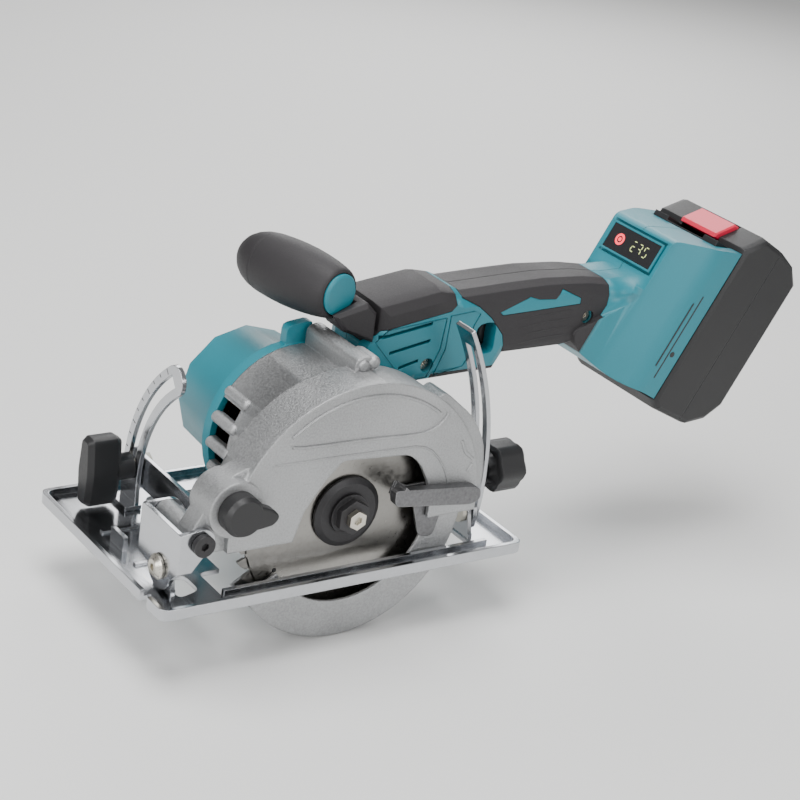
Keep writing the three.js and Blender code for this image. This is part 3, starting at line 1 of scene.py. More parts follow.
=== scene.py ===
# %% [markdown]
# # A cordless circular saw
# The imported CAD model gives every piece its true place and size. Here each piece gets the look of its
# real surface: sand-blasted casting, bright plated sheet, ground blade, moulded plastic and rubber.
# Loading the frame first means that nothing has to be fitted: every position is read from it.

# %% Load the frame
import json
import math
import bpy
import bmesh
from mathutils import Matrix, Vector

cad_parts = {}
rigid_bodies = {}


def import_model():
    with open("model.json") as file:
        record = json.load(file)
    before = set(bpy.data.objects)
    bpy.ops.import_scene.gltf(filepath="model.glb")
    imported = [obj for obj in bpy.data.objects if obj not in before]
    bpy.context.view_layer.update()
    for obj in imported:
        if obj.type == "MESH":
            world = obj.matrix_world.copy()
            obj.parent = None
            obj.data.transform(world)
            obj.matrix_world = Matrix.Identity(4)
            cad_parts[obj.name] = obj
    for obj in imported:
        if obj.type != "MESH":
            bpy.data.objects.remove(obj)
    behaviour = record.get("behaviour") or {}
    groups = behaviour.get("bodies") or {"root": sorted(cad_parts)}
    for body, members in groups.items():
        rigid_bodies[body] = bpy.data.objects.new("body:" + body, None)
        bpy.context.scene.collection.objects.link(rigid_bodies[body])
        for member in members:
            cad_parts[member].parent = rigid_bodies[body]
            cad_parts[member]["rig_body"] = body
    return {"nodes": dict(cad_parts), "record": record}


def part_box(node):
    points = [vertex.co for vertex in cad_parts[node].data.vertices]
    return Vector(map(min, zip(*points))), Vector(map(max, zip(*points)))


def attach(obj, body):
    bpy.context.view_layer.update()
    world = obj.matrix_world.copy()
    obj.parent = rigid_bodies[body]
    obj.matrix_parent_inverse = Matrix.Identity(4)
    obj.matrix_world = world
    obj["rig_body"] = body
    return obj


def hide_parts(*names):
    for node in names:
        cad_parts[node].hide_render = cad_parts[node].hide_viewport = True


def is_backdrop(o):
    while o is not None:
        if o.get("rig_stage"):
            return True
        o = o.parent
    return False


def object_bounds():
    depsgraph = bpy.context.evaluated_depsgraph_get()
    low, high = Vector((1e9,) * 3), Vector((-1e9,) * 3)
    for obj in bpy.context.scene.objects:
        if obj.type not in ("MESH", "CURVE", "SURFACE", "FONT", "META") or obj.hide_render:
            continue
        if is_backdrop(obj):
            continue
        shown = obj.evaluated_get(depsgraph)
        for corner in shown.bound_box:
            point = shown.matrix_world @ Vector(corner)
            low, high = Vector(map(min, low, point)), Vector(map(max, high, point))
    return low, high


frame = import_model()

cad_low, cad_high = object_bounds()
MM = 0.001
blade_low, blade_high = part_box("saw_blade")
HUB = (blade_low + blade_high) / 2
print("nodes", len(frame["nodes"]), "size", [round(b - a, 4) for a, b in zip(cad_low, cad_high)])


def at(x, y, z):
    """A place measured in millimetres from the centre of the blade."""
    return HUB + Vector((x, y, z)) * MM


# %% [markdown]
# ## The camera
# A product shot of a tool is taken from a little above, with a long lens, so that parallel edges stay
# nearly parallel. The camera here is turned a little about its own axis as well, which tips the saw
# forward in the picture. Building the three axes of the camera by hand keeps that roll exact.

# %% Place the camera
AZIMUTH, ELEVATION, ROLL = (math.radians(a) for a in (-37.31, 23.09, 8.52))
camera_data = bpy.data.cameras.new("camera")
camera_data.lens = 94.92
camera_data.sensor_width = 36
camera_data.clip_end = 20
camera = bpy.data.objects.new("camera", camera_data)
bpy.context.scene.collection.objects.link(camera)
back = Vector((
    math.sin(AZIMUTH) * math.cos(ELEVATION),
    -math.cos(AZIMUTH) * math.cos(ELEVATION),
    math.sin(ELEVATION),
))
level = Vector((math.cos(AZIMUTH), math.sin(AZIMUTH), 0))
right = level * math.cos(ROLL) + back.cross(level) * math.sin(ROLL)
up = back.cross(right)
axes = Matrix((right, up, back)).transposed()
camera.matrix_world = Matrix.Translation(at(-557.27, -763.57, 466.13)) @ axes.to_4x4()
bpy.context.scene.camera = camera
print("camera at", [round(c, 3) for c in camera.matrix_world.translation])

# %% [markdown]
# ## Floor and light
# Bright metal has no colour of its own: it shows what is around it. So the studio is mostly large soft
# white panels with darker gaps between them, and the gaps are what draws the edges of the plated sheet.

# %% Floor, panels and sky
def material(name):
    made = bpy.data.materials.new(name)
    made.use_nodes = True
    shader = made.node_tree.nodes["Principled BSDF"]
    return made, made.node_tree, shader


floor_paint, _, floor_shader = material("floor_paint")
floor_shader.inputs["Base Color"].default_value = (0.86, 0.86, 0.85, 1)
floor_shader.inputs["Roughness"].default_value = 0.7
work = bmesh.new()
bmesh.ops.create_grid(work, x_segments=2, y_segments=2, size=4)
bmesh.ops.translate(work, verts=work.verts, vec=(0, 0, cad_low[2] - 0.0005))
floor_mesh = bpy.data.meshes.new("floor")
work.to_mesh(floor_mesh)
work.free()
floor_mesh.materials.append(floor_paint)
floor = bpy.data.objects.new("floor", floor_mesh)
bpy.context.scene.collection.objects.link(floor)
floor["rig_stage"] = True


def panel_light(name, place, size, power, target=at(60, 30, 30)):
    data = bpy.data.lights.new(name, "AREA")
    data.shape = "RECTANGLE"
    data.size, data.size_y = size
    data.energy = power
    lamp = bpy.data.objects.new(name, data)
    bpy.context.scene.collection.objects.link(lamp)
    lamp.location = place
    lamp.rotation_euler = (target - lamp.location).to_track_quat("-Z", "Y").to_euler()
    return lamp


panel_light("top_panel", at(-100, 100, 1300), (1.0, 0.7), 19)
panel_light("left_panel", at(-1300, -300, 700), (0.6, 1.0), 13)
panel_light("front_panel", at(300, -1500, 600), (0.9, 0.5), 10)
panel_light("rear_panel", at(900, 1100, 700), (0.8, 0.8), 9)
world = bpy.data.worlds.new("studio")
bpy.context.scene.world = world
world.use_nodes = True
world.node_tree.nodes["Background"].inputs["Color"].default_value = (1, 1, 1, 1)
world.node_tree.nodes["Background"].inputs["Strength"].default_value = 0.33

# %% [markdown]
# ## Finishes
# Every finish is built the same way, from four effects that real surfaces share: a slow drift of
# colour across the piece, a fine grain that breaks up the gloss, a matching bump, and worn edges.
# The Bevel node finds the edges: where its rounded normal differs from the true one, there is an edge.
# One function with a few numbers makes them all, and a finish is then chosen by touch, not by colour.

# %% A function for finishes
def finish(name, colour, rough, metal=0.0, drift=0.07, patch=16, grain=700, depth=0.12,
           edge=0.5, wear=0.25, worn=None, coat=0.0, along=(1, 1, 1)):
    made, tree, shader = material(name)
    node = tree.nodes.new
    link = tree.links.new
    place = node("ShaderNodeTexCoord")
    turn = node("ShaderNodeMapping")
    turn.inputs["Scale"].default_value = along
    link(place.outputs["Object"], turn.inputs["Vector"])

    slow = node("ShaderNodeTexNoise")
    slow.inputs["Scale"].default_value = patch
    slow.inputs["Detail"].default_value = 4
    link(place.outputs["Object"], slow.inputs["Vector"])
    fine = node("ShaderNodeTexNoise")
    fine.inputs["Scale"].default_value = grain
    fine.inputs["Detail"].default_value = 3
    fine.inputs["Roughness"].default_value = 0.6
    link(turn.outputs["Vector"], fine.inputs["Vector"])

    tint = node("ShaderNodeMix")
    tint.data_type = "RGBA"
    tint.inputs["A"].default_value = (*[c * (1 - drift) for c in colour], 1)
    tint.inputs["B"].default_value = (*[min(1, c * (1 + drift)) for c in colour], 1)
    both = node("ShaderNodeMath")
    both.operation = "MULTIPLY_ADD"
    both.inputs[1].default_value = 0.55
    link(fine.outputs["Fac"], both.inputs[0])
    half = node("ShaderNodeMath")
    half.operation = "MULTIPLY"
    half.inputs[1].default_value = 0.45
    link(slow.outputs["Fac"], half.inputs[0])
    link(half.outputs["Value"], both.inputs[2])
    spread = node("ShaderNodeMapRange")
    spread.inputs["From Min"].default_value = 0.38
    spread.inputs["From Max"].default_value = 0.62
    link(both.outputs["Value"], spread.inputs["Value"])
    link(spread.outputs["Result"], tint.inputs["Factor"])

    rounded = node("ShaderNodeBevel")
    rounded.samples = 4
    rounded.inputs["Radius"].default_value = edge * MM
    flat = node("ShaderNodeNewGeometry")
    likeness = node("ShaderNodeVectorMath")
    likeness.operation = "DOT_PRODUCT"
    link(rounded.outputs["Normal"], likeness.inputs[0])
    link(flat.outputs["Normal"], likeness.inputs[1])
    mask = node("ShaderNodeMapRange")
    mask.inputs["From Min"].default_value = 0.99
    mask.inputs["From Max"].default_value = 0.85
    mask.inputs["To Max"].default_value = wear
    link(likeness.outputs["Value"], mask.inputs["Value"])
    edged = node("ShaderNodeMix")
    edged.data_type = "RGBA"
    edged.inputs["B"].default_value = (*(worn or [min(1, c * 1.6 + 0.03) for c in colour]), 1)
    link(mask.outputs["Result"], edged.inputs["Factor"])
    link(tint.outputs["Result"], edged.inputs["A"])
    link(edged.outputs["Result"], shader.inputs["Base Color"])

    gloss = node("ShaderNodeMapRange")
    gloss.inputs["To Min"].default_value = rough[0]
    gloss.inputs["To Max"].default_value = rough[1]
    link(spread.outputs["Result"], gloss.inputs["Value"])
    link(gloss.outputs["Result"], shader.inputs["Roughness"])

    bump = node("ShaderNodeBump")
    bump.inputs["Strength"].default_value = depth
    bump.inputs["Distance"].default_value = 0.3 * MM
    link(fine.outputs["Fac"], bump.inputs["Height"])
    link(rounded.outputs["Normal"], bump.inputs["Normal"])
    link(bump.outputs["Normal"], shader.inputs["Normal"])
    shader.inputs["Metallic"].default_value = metal
    shader.inputs["Coat Weight"].default_value = coat
    shader.inputs["Coat Roughness"].default_value = 0.25
    return made


# %% [markdown]
# ## The set of finishes
# The casting is aluminium blasted with sand, so its grain is coarse and sparkles. The plated sheet is
# nearly a mirror with faint rolling marks. The plastics are matt with a fine texture from the mould, and
# the rubber is rougher and darker. Steel that is turned or drawn shows streaks along one direction.

# %% Make the finishes
FINISH = {
    "cast_silver": finish("sand_blasted_casting", (0.40, 0.405, 0.41), (0.36, 0.58), metal=0.85, drift=0.19,
                          grain=1000, depth=0.8, edge=1.4, wear=0.3, worn=(0.72, 0.72, 0.72)),
    "bright_plating": finish("bright_plating", (0.50, 0.51, 0.53), (0.12, 0.26), metal=1.0, drift=0.05,
                             grain=260, depth=0.04, edge=0.7, wear=0.2, along=(1, 0.15, 1)),
    "blade_steel": finish("ground_steel", (0.34, 0.33, 0.31), (0.25, 0.4), metal=1.0, grain=500, edge=0.2),
    "black_steel": finish("blackened_steel", (0.035, 0.034, 0.036), (0.38, 0.55), metal=0.4, drift=0.2,
                          grain=900, depth=0.2, edge=0.5, wear=0.35, worn=(0.16, 0.15, 0.15)),
    "plain_steel": finish("drawn_steel", (0.60, 0.57, 0.50), (0.22, 0.4), metal=1.0, grain=800, depth=0.1,
                          edge=0.3, wear=0.4),
    "teal_plastic": finish("teal_moulding", (0.012, 0.200, 0.255), (0.36, 0.5), drift=0.06, grain=1900,
                           depth=0.16, edge=0.9, wear=0.22, worn=(0.07, 0.36, 0.42), coat=0.08),
    "black_rubber": finish("black_rubber", (0.020, 0.018, 0.020), (0.5, 0.7), drift=0.14, grain=1500,
                           depth=0.3, edge=1.0, wear=0.3, worn=(0.05, 0.047, 0.05)),
    "black_plastic": finish("black_moulding", (0.013, 0.013, 0.014), (0.34, 0.5), drift=0.15, grain=1400,
                            depth=0.2, edge=0.6, wear=0.35, worn=(0.08, 0.08, 0.085)),
    "grey_plastic": finish("battery_moulding", (0.013, 0.013, 0.014), (0.4, 0.58), drift=0.15, grain=2200,
                           depth=0.3, edge=0.9, wear=0.35, worn=(0.075, 0.075, 0.08)),
    "red_plastic": finish("red_moulding", (0.78, 0.025, 0.07), (0.3, 0.42), drift=0.06, grain=1600,
                          depth=0.1, edge=0.5, wear=0.2, coat=0.2),
    "board_green": finish("board_lacquer", (0.02, 0.16, 0.07), (0.3, 0.45), grain=600, depth=0.1),
    "winding_copper": finish("winding_copper", (0.60, 0.24, 0.10), (0.25, 0.4), metal=0.9, grain=300,
                             depth=0.5, along=(1, 8, 1)),
    "cell_wrap": finish("cell_wrap", (0.10, 0.25, 0.42), (0.3, 0.45), grain=500, depth=0.08),
}
SLOT_OF = {s["node"]: s["material_slot"] for s in frame["record"]["subparts"]}
for name, cad in frame["nodes"].items():
    cad.data.materials.clear()
    cad.data.materials.append(FINISH[SLOT_OF[name]])
print("finishes", len(FINISH))

# %% [markdown]
# ## Smooth skins for the CAD pieces
# A CAD node is a set of flat triangles, so a round wall shows facets. Its mesh must stay as it is, so a
# copy is made: the triangles are welded, those that lie flat together become one face, edges that fold
# sharply stay sharp and all others are shaded smooth. Weighted normals then let the large flat faces win
# over the thin ones beside them, which keeps flats flat right up to the edge. The copy replaces its node
# and rides on the same body.

# %% A function that makes a smooth copy
def shade(piece, fold):
    """Smooth shading that breaks where faces meet at more than fold degrees."""
    mesh = piece.data
    for polygon in mesh.polygons:
        polygon.use_smooth = True
    mesh.set_sharp_from_angle(angle=math.radians(fold))
    weigh = piece.modifiers.new("weighted_normals", "WEIGHTED_NORMAL")
    weigh.keep_sharp = True
    weigh.weight = 80


OWN_FINISH = {
    "lift_lever": finish("zinc_casting", (0.17, 0.17, 0.175), (0.35, 0.5), metal=0.9, drift=0.25, grain=620,
                         depth=0.4, edge=0.8, wear=0.5, worn=(0.5, 0.5, 0.5)),
}


PLAIN_FOLD = 32  # degrees: sharper folds than this stay sharp


def skin(node, fold=PLAIN_FOLD):
    source = frame["nodes"][node]
    work = bmesh.new()
    work.from_mesh(source.data)
    bmesh.ops.remove_doubles(work, verts=work.verts, dist=0.02 * MM)
    bmesh.ops.dissolve_degenerate(work, dist=0.01 * MM, edges=work.edges)
    bmesh.ops.dissolve_limit(work, angle_limit=math.radians(0.6), verts=work.verts, edges=work.edges)
    mesh = bpy.data.meshes.new(node + "_skin")
    work.to_mesh(mesh)
    work.free()
    mesh.materials.append(OWN_FINISH.get(node, FINISH[SLOT_OF[node]]))
    piece = bpy.data.objects.new(node + "_skin", mesh)
    bpy.context.scene.collection.objects.link(piece)
    shade(piece, fold)
    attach(piece, source["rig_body"])
    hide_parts(node)
    return piece


REPLACED_LATER = {"saw_blade", "aux_handle", "aux_cap", "display_panel", "guard_spring"}
FOLD = {"upper_guard": 21, "lift_lever": 20, "base_plate": 20, "front_bracket": 20,
        "rear_bracket": 20}
for node in frame["nodes"]:
    if node not in REPLACED_LATER:
        skin(node, FOLD.get(node, PLAIN_FOLD))
print("skins", len(frame["nodes"]) - len(REPLACED_LATER))

# %% [markdown]
# ## Tools for new pieces
# The small details are made with bmesh operators. `place` puts a finished bmesh into the scene, on its
# body and with its finish. `push` extrudes faces by a step, and `plate` pushes an outline drawn from the
# side through the width of the saw, which suits marks and panels. `turned` spins a half profile round an
# axis, as a lathe does, and `bead` joins rings of vertices along a path.

# %% place, push, plate, turned and bead
def place(work, name, body, slot, fold=35, paint=None):
    bmesh.ops.recalc_face_normals(work, faces=work.faces)
    mesh = bpy.data.meshes.new(name)
    work.to_mesh(mesh)
    work.free()
    mesh.materials.append(paint or FINISH[slot])
    piece = bpy.data.objects.new(name, mesh)
    bpy.context.scene.collection.objects.link(piece)
    shade(piece, fold)
    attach(piece, body)
    return piece


def push(work, faces, step):
    """Extrudes faces by the vector step, and gives back the vertices that moved."""
    pushed = bmesh.ops.extrude_face_region(work, geom=faces)["geom"]
    moved = [v for v in pushed if isinstance(v, bmesh.types.BMVert)]
    bmesh.ops.translate(work, verts=moved, vec=step)
    return moved


def outline(work, places):
    """One face through places."""
    return work.faces.new([work.verts.new(p) for p in places])


def plate(work, points, y0, y1, soften=0.0):
    """Pushes side-view points (x, z) from y0 to y1, all in millimetres from the blade centre."""
    face = outline(work, [at(x, y0, z) for x, z in points])
    moved = push(work, [face], at(0, y1, 0) - at(0, y0, 0))
    if soften > 0:
        edges = {e for v in moved for e in v.link_edges if all(w in moved for w in e.verts)}
        bmesh.ops.bevel(work, geom=list(edges), offset=soften * MM, offset_type="OFFSET",
                        affect="EDGES", segments=2, profile=0.5, material=-1, clamp_overlap=True)


def turned(work, centre, axis, profile, steps=48):
    """Spins (radius, distance along the axis) points, in millimetres, about the axis through centre."""
    side = axis.orthogonal().normalized()
    made = [work.verts.new(centre + (side * r + axis * d) * MM) for r, d in profile]
    edges = [work.edges.new(pair) for pair in zip(made, made[1:])]
    bmesh.ops.spin(work, geom=made + edges, cent=centre, axis=axis, dvec=(0, 0, 0),
                   angle=math.tau, steps=steps, use_merge=True)
    bmesh.ops.remove_doubles(work, verts=work.verts, dist=0.005 * MM)


def bead(work, points, radius, put, sides=8):
    """A round bead along points: a ring of vertices at each one, bridged to the next."""
    places = [put(*p) for p in points]
    rings = []
    for i, here in enumerate(places):
        ahead = places[min(i + 1, len(places) - 1)] - places[max(i - 1, 0)]
        turn = ahead.to_track_quat("Z", "Y").to_matrix().to_4x4()
        made = bmesh.ops.create_circle(work, cap_ends=i in (0, len(places) - 1), segments=sides,
                                       radius=radius * MM, matrix=Matrix.Translation(here) @ turn)["verts"]
        rings.append([e for e in {e for v in made for e in v.link_edges} if len(e.link_faces) < 2])
    for first, second in zip(rings, rings[1:]):
        bmesh.ops.bridge_loops(work, edges=first + second)


def arc(radius, start, stop, count, x=0.0, z=0.0):
    """Side-view points on an arc, angles in degrees from the rear, counted upwards."""
    step = (stop - start) / (count - 1)
    return [(x + radius * math.cos(math.radians(start + i * step)),
             z + radius * math.sin(math.radians(start + i * step))) for i in range(count)]


print("tools ready")

# %% [markdown]
# ## The blade
# A ground steel plate carries forty brazed carbide teeth. The plate is thinner than the teeth so that
# it never rubs in the cut. One tooth is drawn and spun round with copies, which is how a toothed rim is
# kept even. The slots that let the hot rim grow, each ending in a small round hole, are not cut: thin
# dark sheets on both faces of the plate are painted shade in their place.

# %% Build the blade
spin_axis = Vector((0, 1, 0))
steel = FINISH["blade_steel"]
tree = steel.node_tree
node, link = tree.nodes.new, tree.links.new
shader = tree.nodes["Principled BSDF"]
place_of = node("ShaderNodeTexCoord")
centred = node("ShaderNodeVectorMath")
centred.operation = "SUBTRACT"
centred.inputs[1].default_value = HUB
link(place_of.outputs["Object"], centred.inputs[0])
across = node("ShaderNodeVectorMath")
across.operation = "CROSS_PRODUCT"
across.inputs[1].default_value = (0, 1, 0)
link(centred.outputs["Vector"], across.inputs[0])
length = node("ShaderNodeVectorMath")
length.operation = "LENGTH"
link(across.outputs["Vector"], length.inputs[0])
rings_of_grind = node("ShaderNodeTexNoise")
rings_of_grind.noise_dimensions = "1D"
rings_of_grind.inputs["Scale"].default_value = 2600
link(length.outputs["Value"], rings_of_grind.inputs["W"])
grind = node("ShaderNodeBump")
grind.inputs["Strength"].default_value = 0.12
grind.inputs["Distance"].default_value = 0.1 * MM
link(rings_of_grind.outputs["Fac"], grind.inputs["Height"])
link(grind.outputs["Normal"], shader.inputs["Normal"])
link(across.outputs["Vector"], shader.inputs["Tangent"])
shader.inputs["Anisotropic"].default_value = 0.75

work = bmesh.new()
BORE, RIM, HALF_PLATE = 10, 57.6, 0.6
turned(work, HUB, spin_axis, [(BORE, -HALF_PLATE), (RIM, -HALF_PLATE), (RIM, HALF_PLATE),
                              (BORE, HALF_PLATE), (BORE, -HALF_PLATE)], 96)
TEETH = 40


def round_the_hub(points):
    """Side-view places of (radius, angle in degrees) points."""
    return [(r * math.cos(math.radians(a)), r * math.sin(math.radians(a))) for r, a in points]


body_points = round_the_hub([(56.8, -0.8), (58.4, -0.35), (62.2, 0.0), (61.9, 0.9), (61.4, 3.0),
                             (59.6, 5.4), (56.8, 6.4)])
tip_points = round_the_hub([(58.6, -0.75), (62.45, -0.35), (62.35, 1.1), (58.6, 0.8)])
before = set(work.verts)
plate(work, body_points, -HALF_PLATE, HALF_PLATE)
plate(work, tip_points, -0.9, 0.9)
fresh = [v for v in work.verts if v not in before]
parts = (fresh + list({e for v in fresh for e in v.link_edges})
         + list({f for v in fresh for f in v.link_faces}))
bmesh.ops.spin(work, geom=parts, cent=HUB, axis=spin_axis, dvec=(0, 0, 0),
               angle=math.tau * (TEETH - 1) / TEETH, steps=TEETH - 1, use_duplicate=True)
blade = place(work, "blade_toothed", "blade_set", "blade_steel", 30)
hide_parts("saw_blade")

SLOTS, SLOT_HALF, SHADE_SHEET_THICK = 5, 0.28, 0.02
# The slots are not cut: thin dark sheets and discs on both faces are painted shade for them.
work = bmesh.new()
for face_y in (-0.63, 0.61):
    plate(work, [(47, -SLOT_HALF), (57.4, -SLOT_HALF), (57.4, SLOT_HALF), (47, SLOT_HALF)],
          face_y, face_y + SHADE_SHEET_THICK)
    turned(work, at(46.4, face_y, 0), spin_axis, [(0, 0), (1.3, 0), (1.3, SHADE_SHEET_THICK), (0, SHADE_SHEET_THICK)], 12)
parts = list(work.verts) + list(work.edges) + list(work.faces)
bmesh.ops.spin(work, geom=parts, cent=HUB, axis=spin_axis, dvec=(0, 0, 0),
               angle=math.tau * (SLOTS - 1) / SLOTS, steps=SLOTS - 1, use_duplicate=True)
place(work, "blade_slot_painted_shade", "blade_set", "black_steel", 30)
print("blade teeth", TEETH, "faces", len(blade.data.polygons))

# %% [markdown]
# ## The front handle
# The handle is a rubber bulb that is thickest near the middle, with a seam where its end cap is moulded
# on and a coloured disc pressed into the near end. It is round, so it is turned: half its outline is
# spun about its own axis, which leans forward.

# %% Build the front handle
cap_low, cap_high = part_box("aux_cap")
bulb_low, bulb_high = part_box("aux_handle")
lean = Vector((-math.sin(math.radians(13.5)), math.cos(math.radians(13.5)), 0))
grip_start = at(6.5, 38, 100)
work = bmesh.new()
turned(work, grip_start, lean, [
    (0, 1.2), (11.0, 1.2), (11.2, 0.1), (11.9, 0.15), (12.6, 0.7), (13.4, 2.2), (14.3, 5.6), (15.3, 11.0),
    (16.1, 17.5), (16.65, 24.0), (16.85, 31.0), (16.75, 38.0), (16.3, 45.5), (15.95, 49.0), (15.5, 49.4),
    (15.5, 49.9), (15.7, 50.3), (14.9, 54.4), (13.4, 58.6), (11.2, 62.4), (8.6, 65.2), (5.0, 67.0), (0, 67.7),
], 72)
bulb = place(work, "front_handle_rubber", "saw_body", "black_rubber", 40)
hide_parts("aux_handle")
work = bmesh.new()
turned(work, grip_start, lean, [(0, -2.0), (8.8, -1.85), (10.0, -1.5), (10.7, -0.8), (10.8, 1.1), (0, 1.1)], 64)
disc = place(work, "front_handle_disc", "saw_body", "teal_plastic", 40)
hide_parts("aux_cap")
print("front handle reaches", [round(c, 4) for c in bulb_low])

# %% [markdown]
# ## Relief on the cast guard
# A casting this thin is stiffened by its shape. A raised bead follows the rim, another closes the panel
# below it, and a shallow step frames the opening over the blade. Each bead is a row of rings joined to
# the next, half sunk in the wall, so that it reads as one casting.

# %% Beads and steps on the guard
NEAR, RIM_BEAD = -12.0, 67.2
work = bmesh.new()
rim_line = [(x, NEAR, z) for x, z in arc(RIM_BEAD, 131, 52, 28)]
bead(work, rim_line, 0.95, at)
panel_line = [(-43.5, 45.8), (-36, 44.9), (-24, 44.6), (-10, 44.4), (4, 44.0), (16, 43.4),
              (26, 42.8), (33, 42.9), (38.5, 44.2), (42.6, 46.4), (45.6, 49.4), (47.2, 52.0)]
bead(work, [(x, NEAR, z) for x, z in panel_line], 0.95, at)
step_line = [(-53, 37.4), (-40, 37.4), (-21, 37.2), (0, 36.8), (18, 36.4), (30, 36.0), (35.5, 34.8),
             (40.5, 32.0), (45.5, 26.8), (49.5, 21.0), (52.6, 14.4), (54.6, 7.6), (55.4, 1.0)]
bead(work, [(x, NEAR + 0.35, z) for x, z in step_line], 0.8, at)
place(work, "guard_beads", "saw_body", "cast_silver", 50)

work = bmesh.new()
plate(work, [(57.4, 35.0), (59.0, 35.6), (62.4, 29.0), (67.8, 24.2), (66.6, 23.0), (61.0, 27.6)],
      NEAR + 0.4, NEAR - 0.5, 0.3)
plate(work, [(66.4, 21.8), (67.8, 21.0), (65.6, 16.4), (64.0, 17.2)], NEAR + 0.4, NEAR - 0.5, 0.3)
place(work, "guard_direction_mark", "saw_body", "cast_silver", 40)
print("beads", len(rim_line) + len(panel_line) + len(step_line))

# %% [markdown]
# ## Cooling fins
# Air leaves the fan through slots in the side of its case. The bars between the slots are rounded so
# that the casting fills the mould, and they stand a little proud of the wall.

# %% Fins on the fan case
work = bmesh.new()
MOTOR_OFF, MOTOR_ANGLE, FIN_RING = 23.5, math.radians(102.3), 46.2
FIN_ANGLES = (146, 163.5, 180.5, 197.5)
motor_x, motor_z = MOTOR_OFF * math.cos(MOTOR_ANGLE), MOTOR_OFF * math.sin(MOTOR_ANGLE)
for angle in FIN_ANGLES:
    fx = motor_x + FIN_RING * math.cos(math.radians(angle))
    fz = motor_z + FIN_RING * math.sin(math.radians(angle))
    turned(work, at(fx, 33, fz), spin_axis,
           [(0, -4.0), (1.6, -3.6), (2.7, -2.4), (3.0, -0.6), (3.0, 16.6), (0, 16.6)], 20)
place(work, "fan_case_fins", "saw_body", "cast_silver", 40)

work = bmesh.new()
BOSSES = ((2, 73), (8, 74))
for x, z in BOSSES:
    turned(work, at(x + 1.0, 5.0, z + 3.0), spin_axis,
           [(0, -2.4), (2.4, -2.0), (3.2, -1.0), (3.4, 0.4), (3.4, 12), (2.6, 15), (0, 16.5)], 24)
place(work, "rib_bosses", "saw_body", "cast_silver", 40)
print("fins", len(FIN_ANGLES), "bosses", len(BOSSES))

# %% [markdown]
# ## The moulded side panel
# The coloured side of the housing has two raised frames. Each one is an outline that is inset and pushed
# out. A new face has no normal until it is updated, so the inset here comes out without any width, and
# each frame is only a thin standing line. The slots of the panel are cut in the CAD piece already.

# %% Two frames
SIDE = 31.0


def band(work, points, width, y0, y1, put=at):
    """Insets the outline through points, drops its middle and pushes its border out."""
    face = outline(work, [put(x, y0, z) for x, z in points])
    border = bmesh.ops.inset_region(work, faces=[face], thickness=width * MM, use_boundary=True,
                                    use_even_offset=True)["faces"]
    bmesh.ops.delete(work, geom=[face], context="FACES")
    push(work, border, put(0, y1, 0) - put(0, y0, 0))


work = bmesh.new()
band(work, [(27.5, 74.5), (34.5, 80.4), (70.5, 83.6), (69.0, 66.5), (62.6, 51.5), (50.5, 50.6), (42.5, 57.6)],
     1.3, SIDE + 0.3, SIDE - 0.45)
band(work, [(73.0, 84.4), (88.0, 85.6), (92.0, 83.6), (88.6, 77.0), (88.6, 60.5), (85.0, 55.0), (66.8, 51.8),
            (72.4, 66.0)], 1.2, SIDE + 0.3, SIDE - 0.4)
place(work, "side_panel_frame", "saw_body", "teal_plastic", 40)

print("side panel at y", SIDE)

# %% [markdown]
# ## Ribs on the grip
# Four long ribs under the coloured inlay keep the palm from slipping. They follow the grip's own line
# and fade into it, on both sides of the handle.

# %% Grip ribs
work = bmesh.new()
rib_lines = [((113, 76.6), (160, 79.6)), ((114, 72.0), (163, 75.0)), ((115, 67.4), (162, 70.2)),
             ((117, 63.4), (158, 65.6))]
for y, out in ((31.4, -1), (68.6, 1)):
    for (x0, z0), (x1, z1) in rib_lines:
        points = []
        for i in range(12):
            t = i / 11
            sink = 0.9 * (abs(2 * t - 1) ** 6)
            points.append((x0 + (x1 - x0) * t, y - out * (0.35 + sink),
                           z0 + (z1 - z0) * t + 1.2 * math.sin(math.pi * t)))
        bead(work, points, 1.0, at, 8)
place(work, "grip_ribs", "saw_body", "black_rubber", 50)
print("grip ribs", len(rib_lines) * 2)

# %% [markdown]
# ## The display
# A dark window is set in the face above the grip. Behind it glow a round charge mark and a few bars of
# a segment figure. They show no words, so the marks are short plain bars, each a small raised plate.
# The window sits in the pack's own leaning frame, so its places are worked out there.

# %% Build the display
TILT = math.radians(28.6)
pack_turn = Matrix.Rotation(TILT, 4, "Y")
pack_origin = at(232, 50, 68)


def on_pack(n, y, l):
    """A place in the pack's frame: n across the joint, y sideways, l along the slide."""
    return pack_origin + (pack_turn @ Vector((n, y, l))) * MM


def pack_plate(work, points, n0, n1):
    """Pushes points (y, l) in the pack's frame from n0 to n1."""
    face = outline(work, [on_pack(n0, y, l) for y, l in points])
    push(work, [face], on_pack(n1, 0, 0) - on_pack(n0, 0, 0))


def glow(name, colour, strength):
    made, _, shader = material(name)
    shader.inputs["Base Color"].default_value = (*colour, 1)
    shader.inputs["Emission Color"].default_value = (*colour, 1)
    shader.inputs["Emission Strength"].default_value = strength
    shader.inputs["Roughness"].default_value = 0.35
    return made


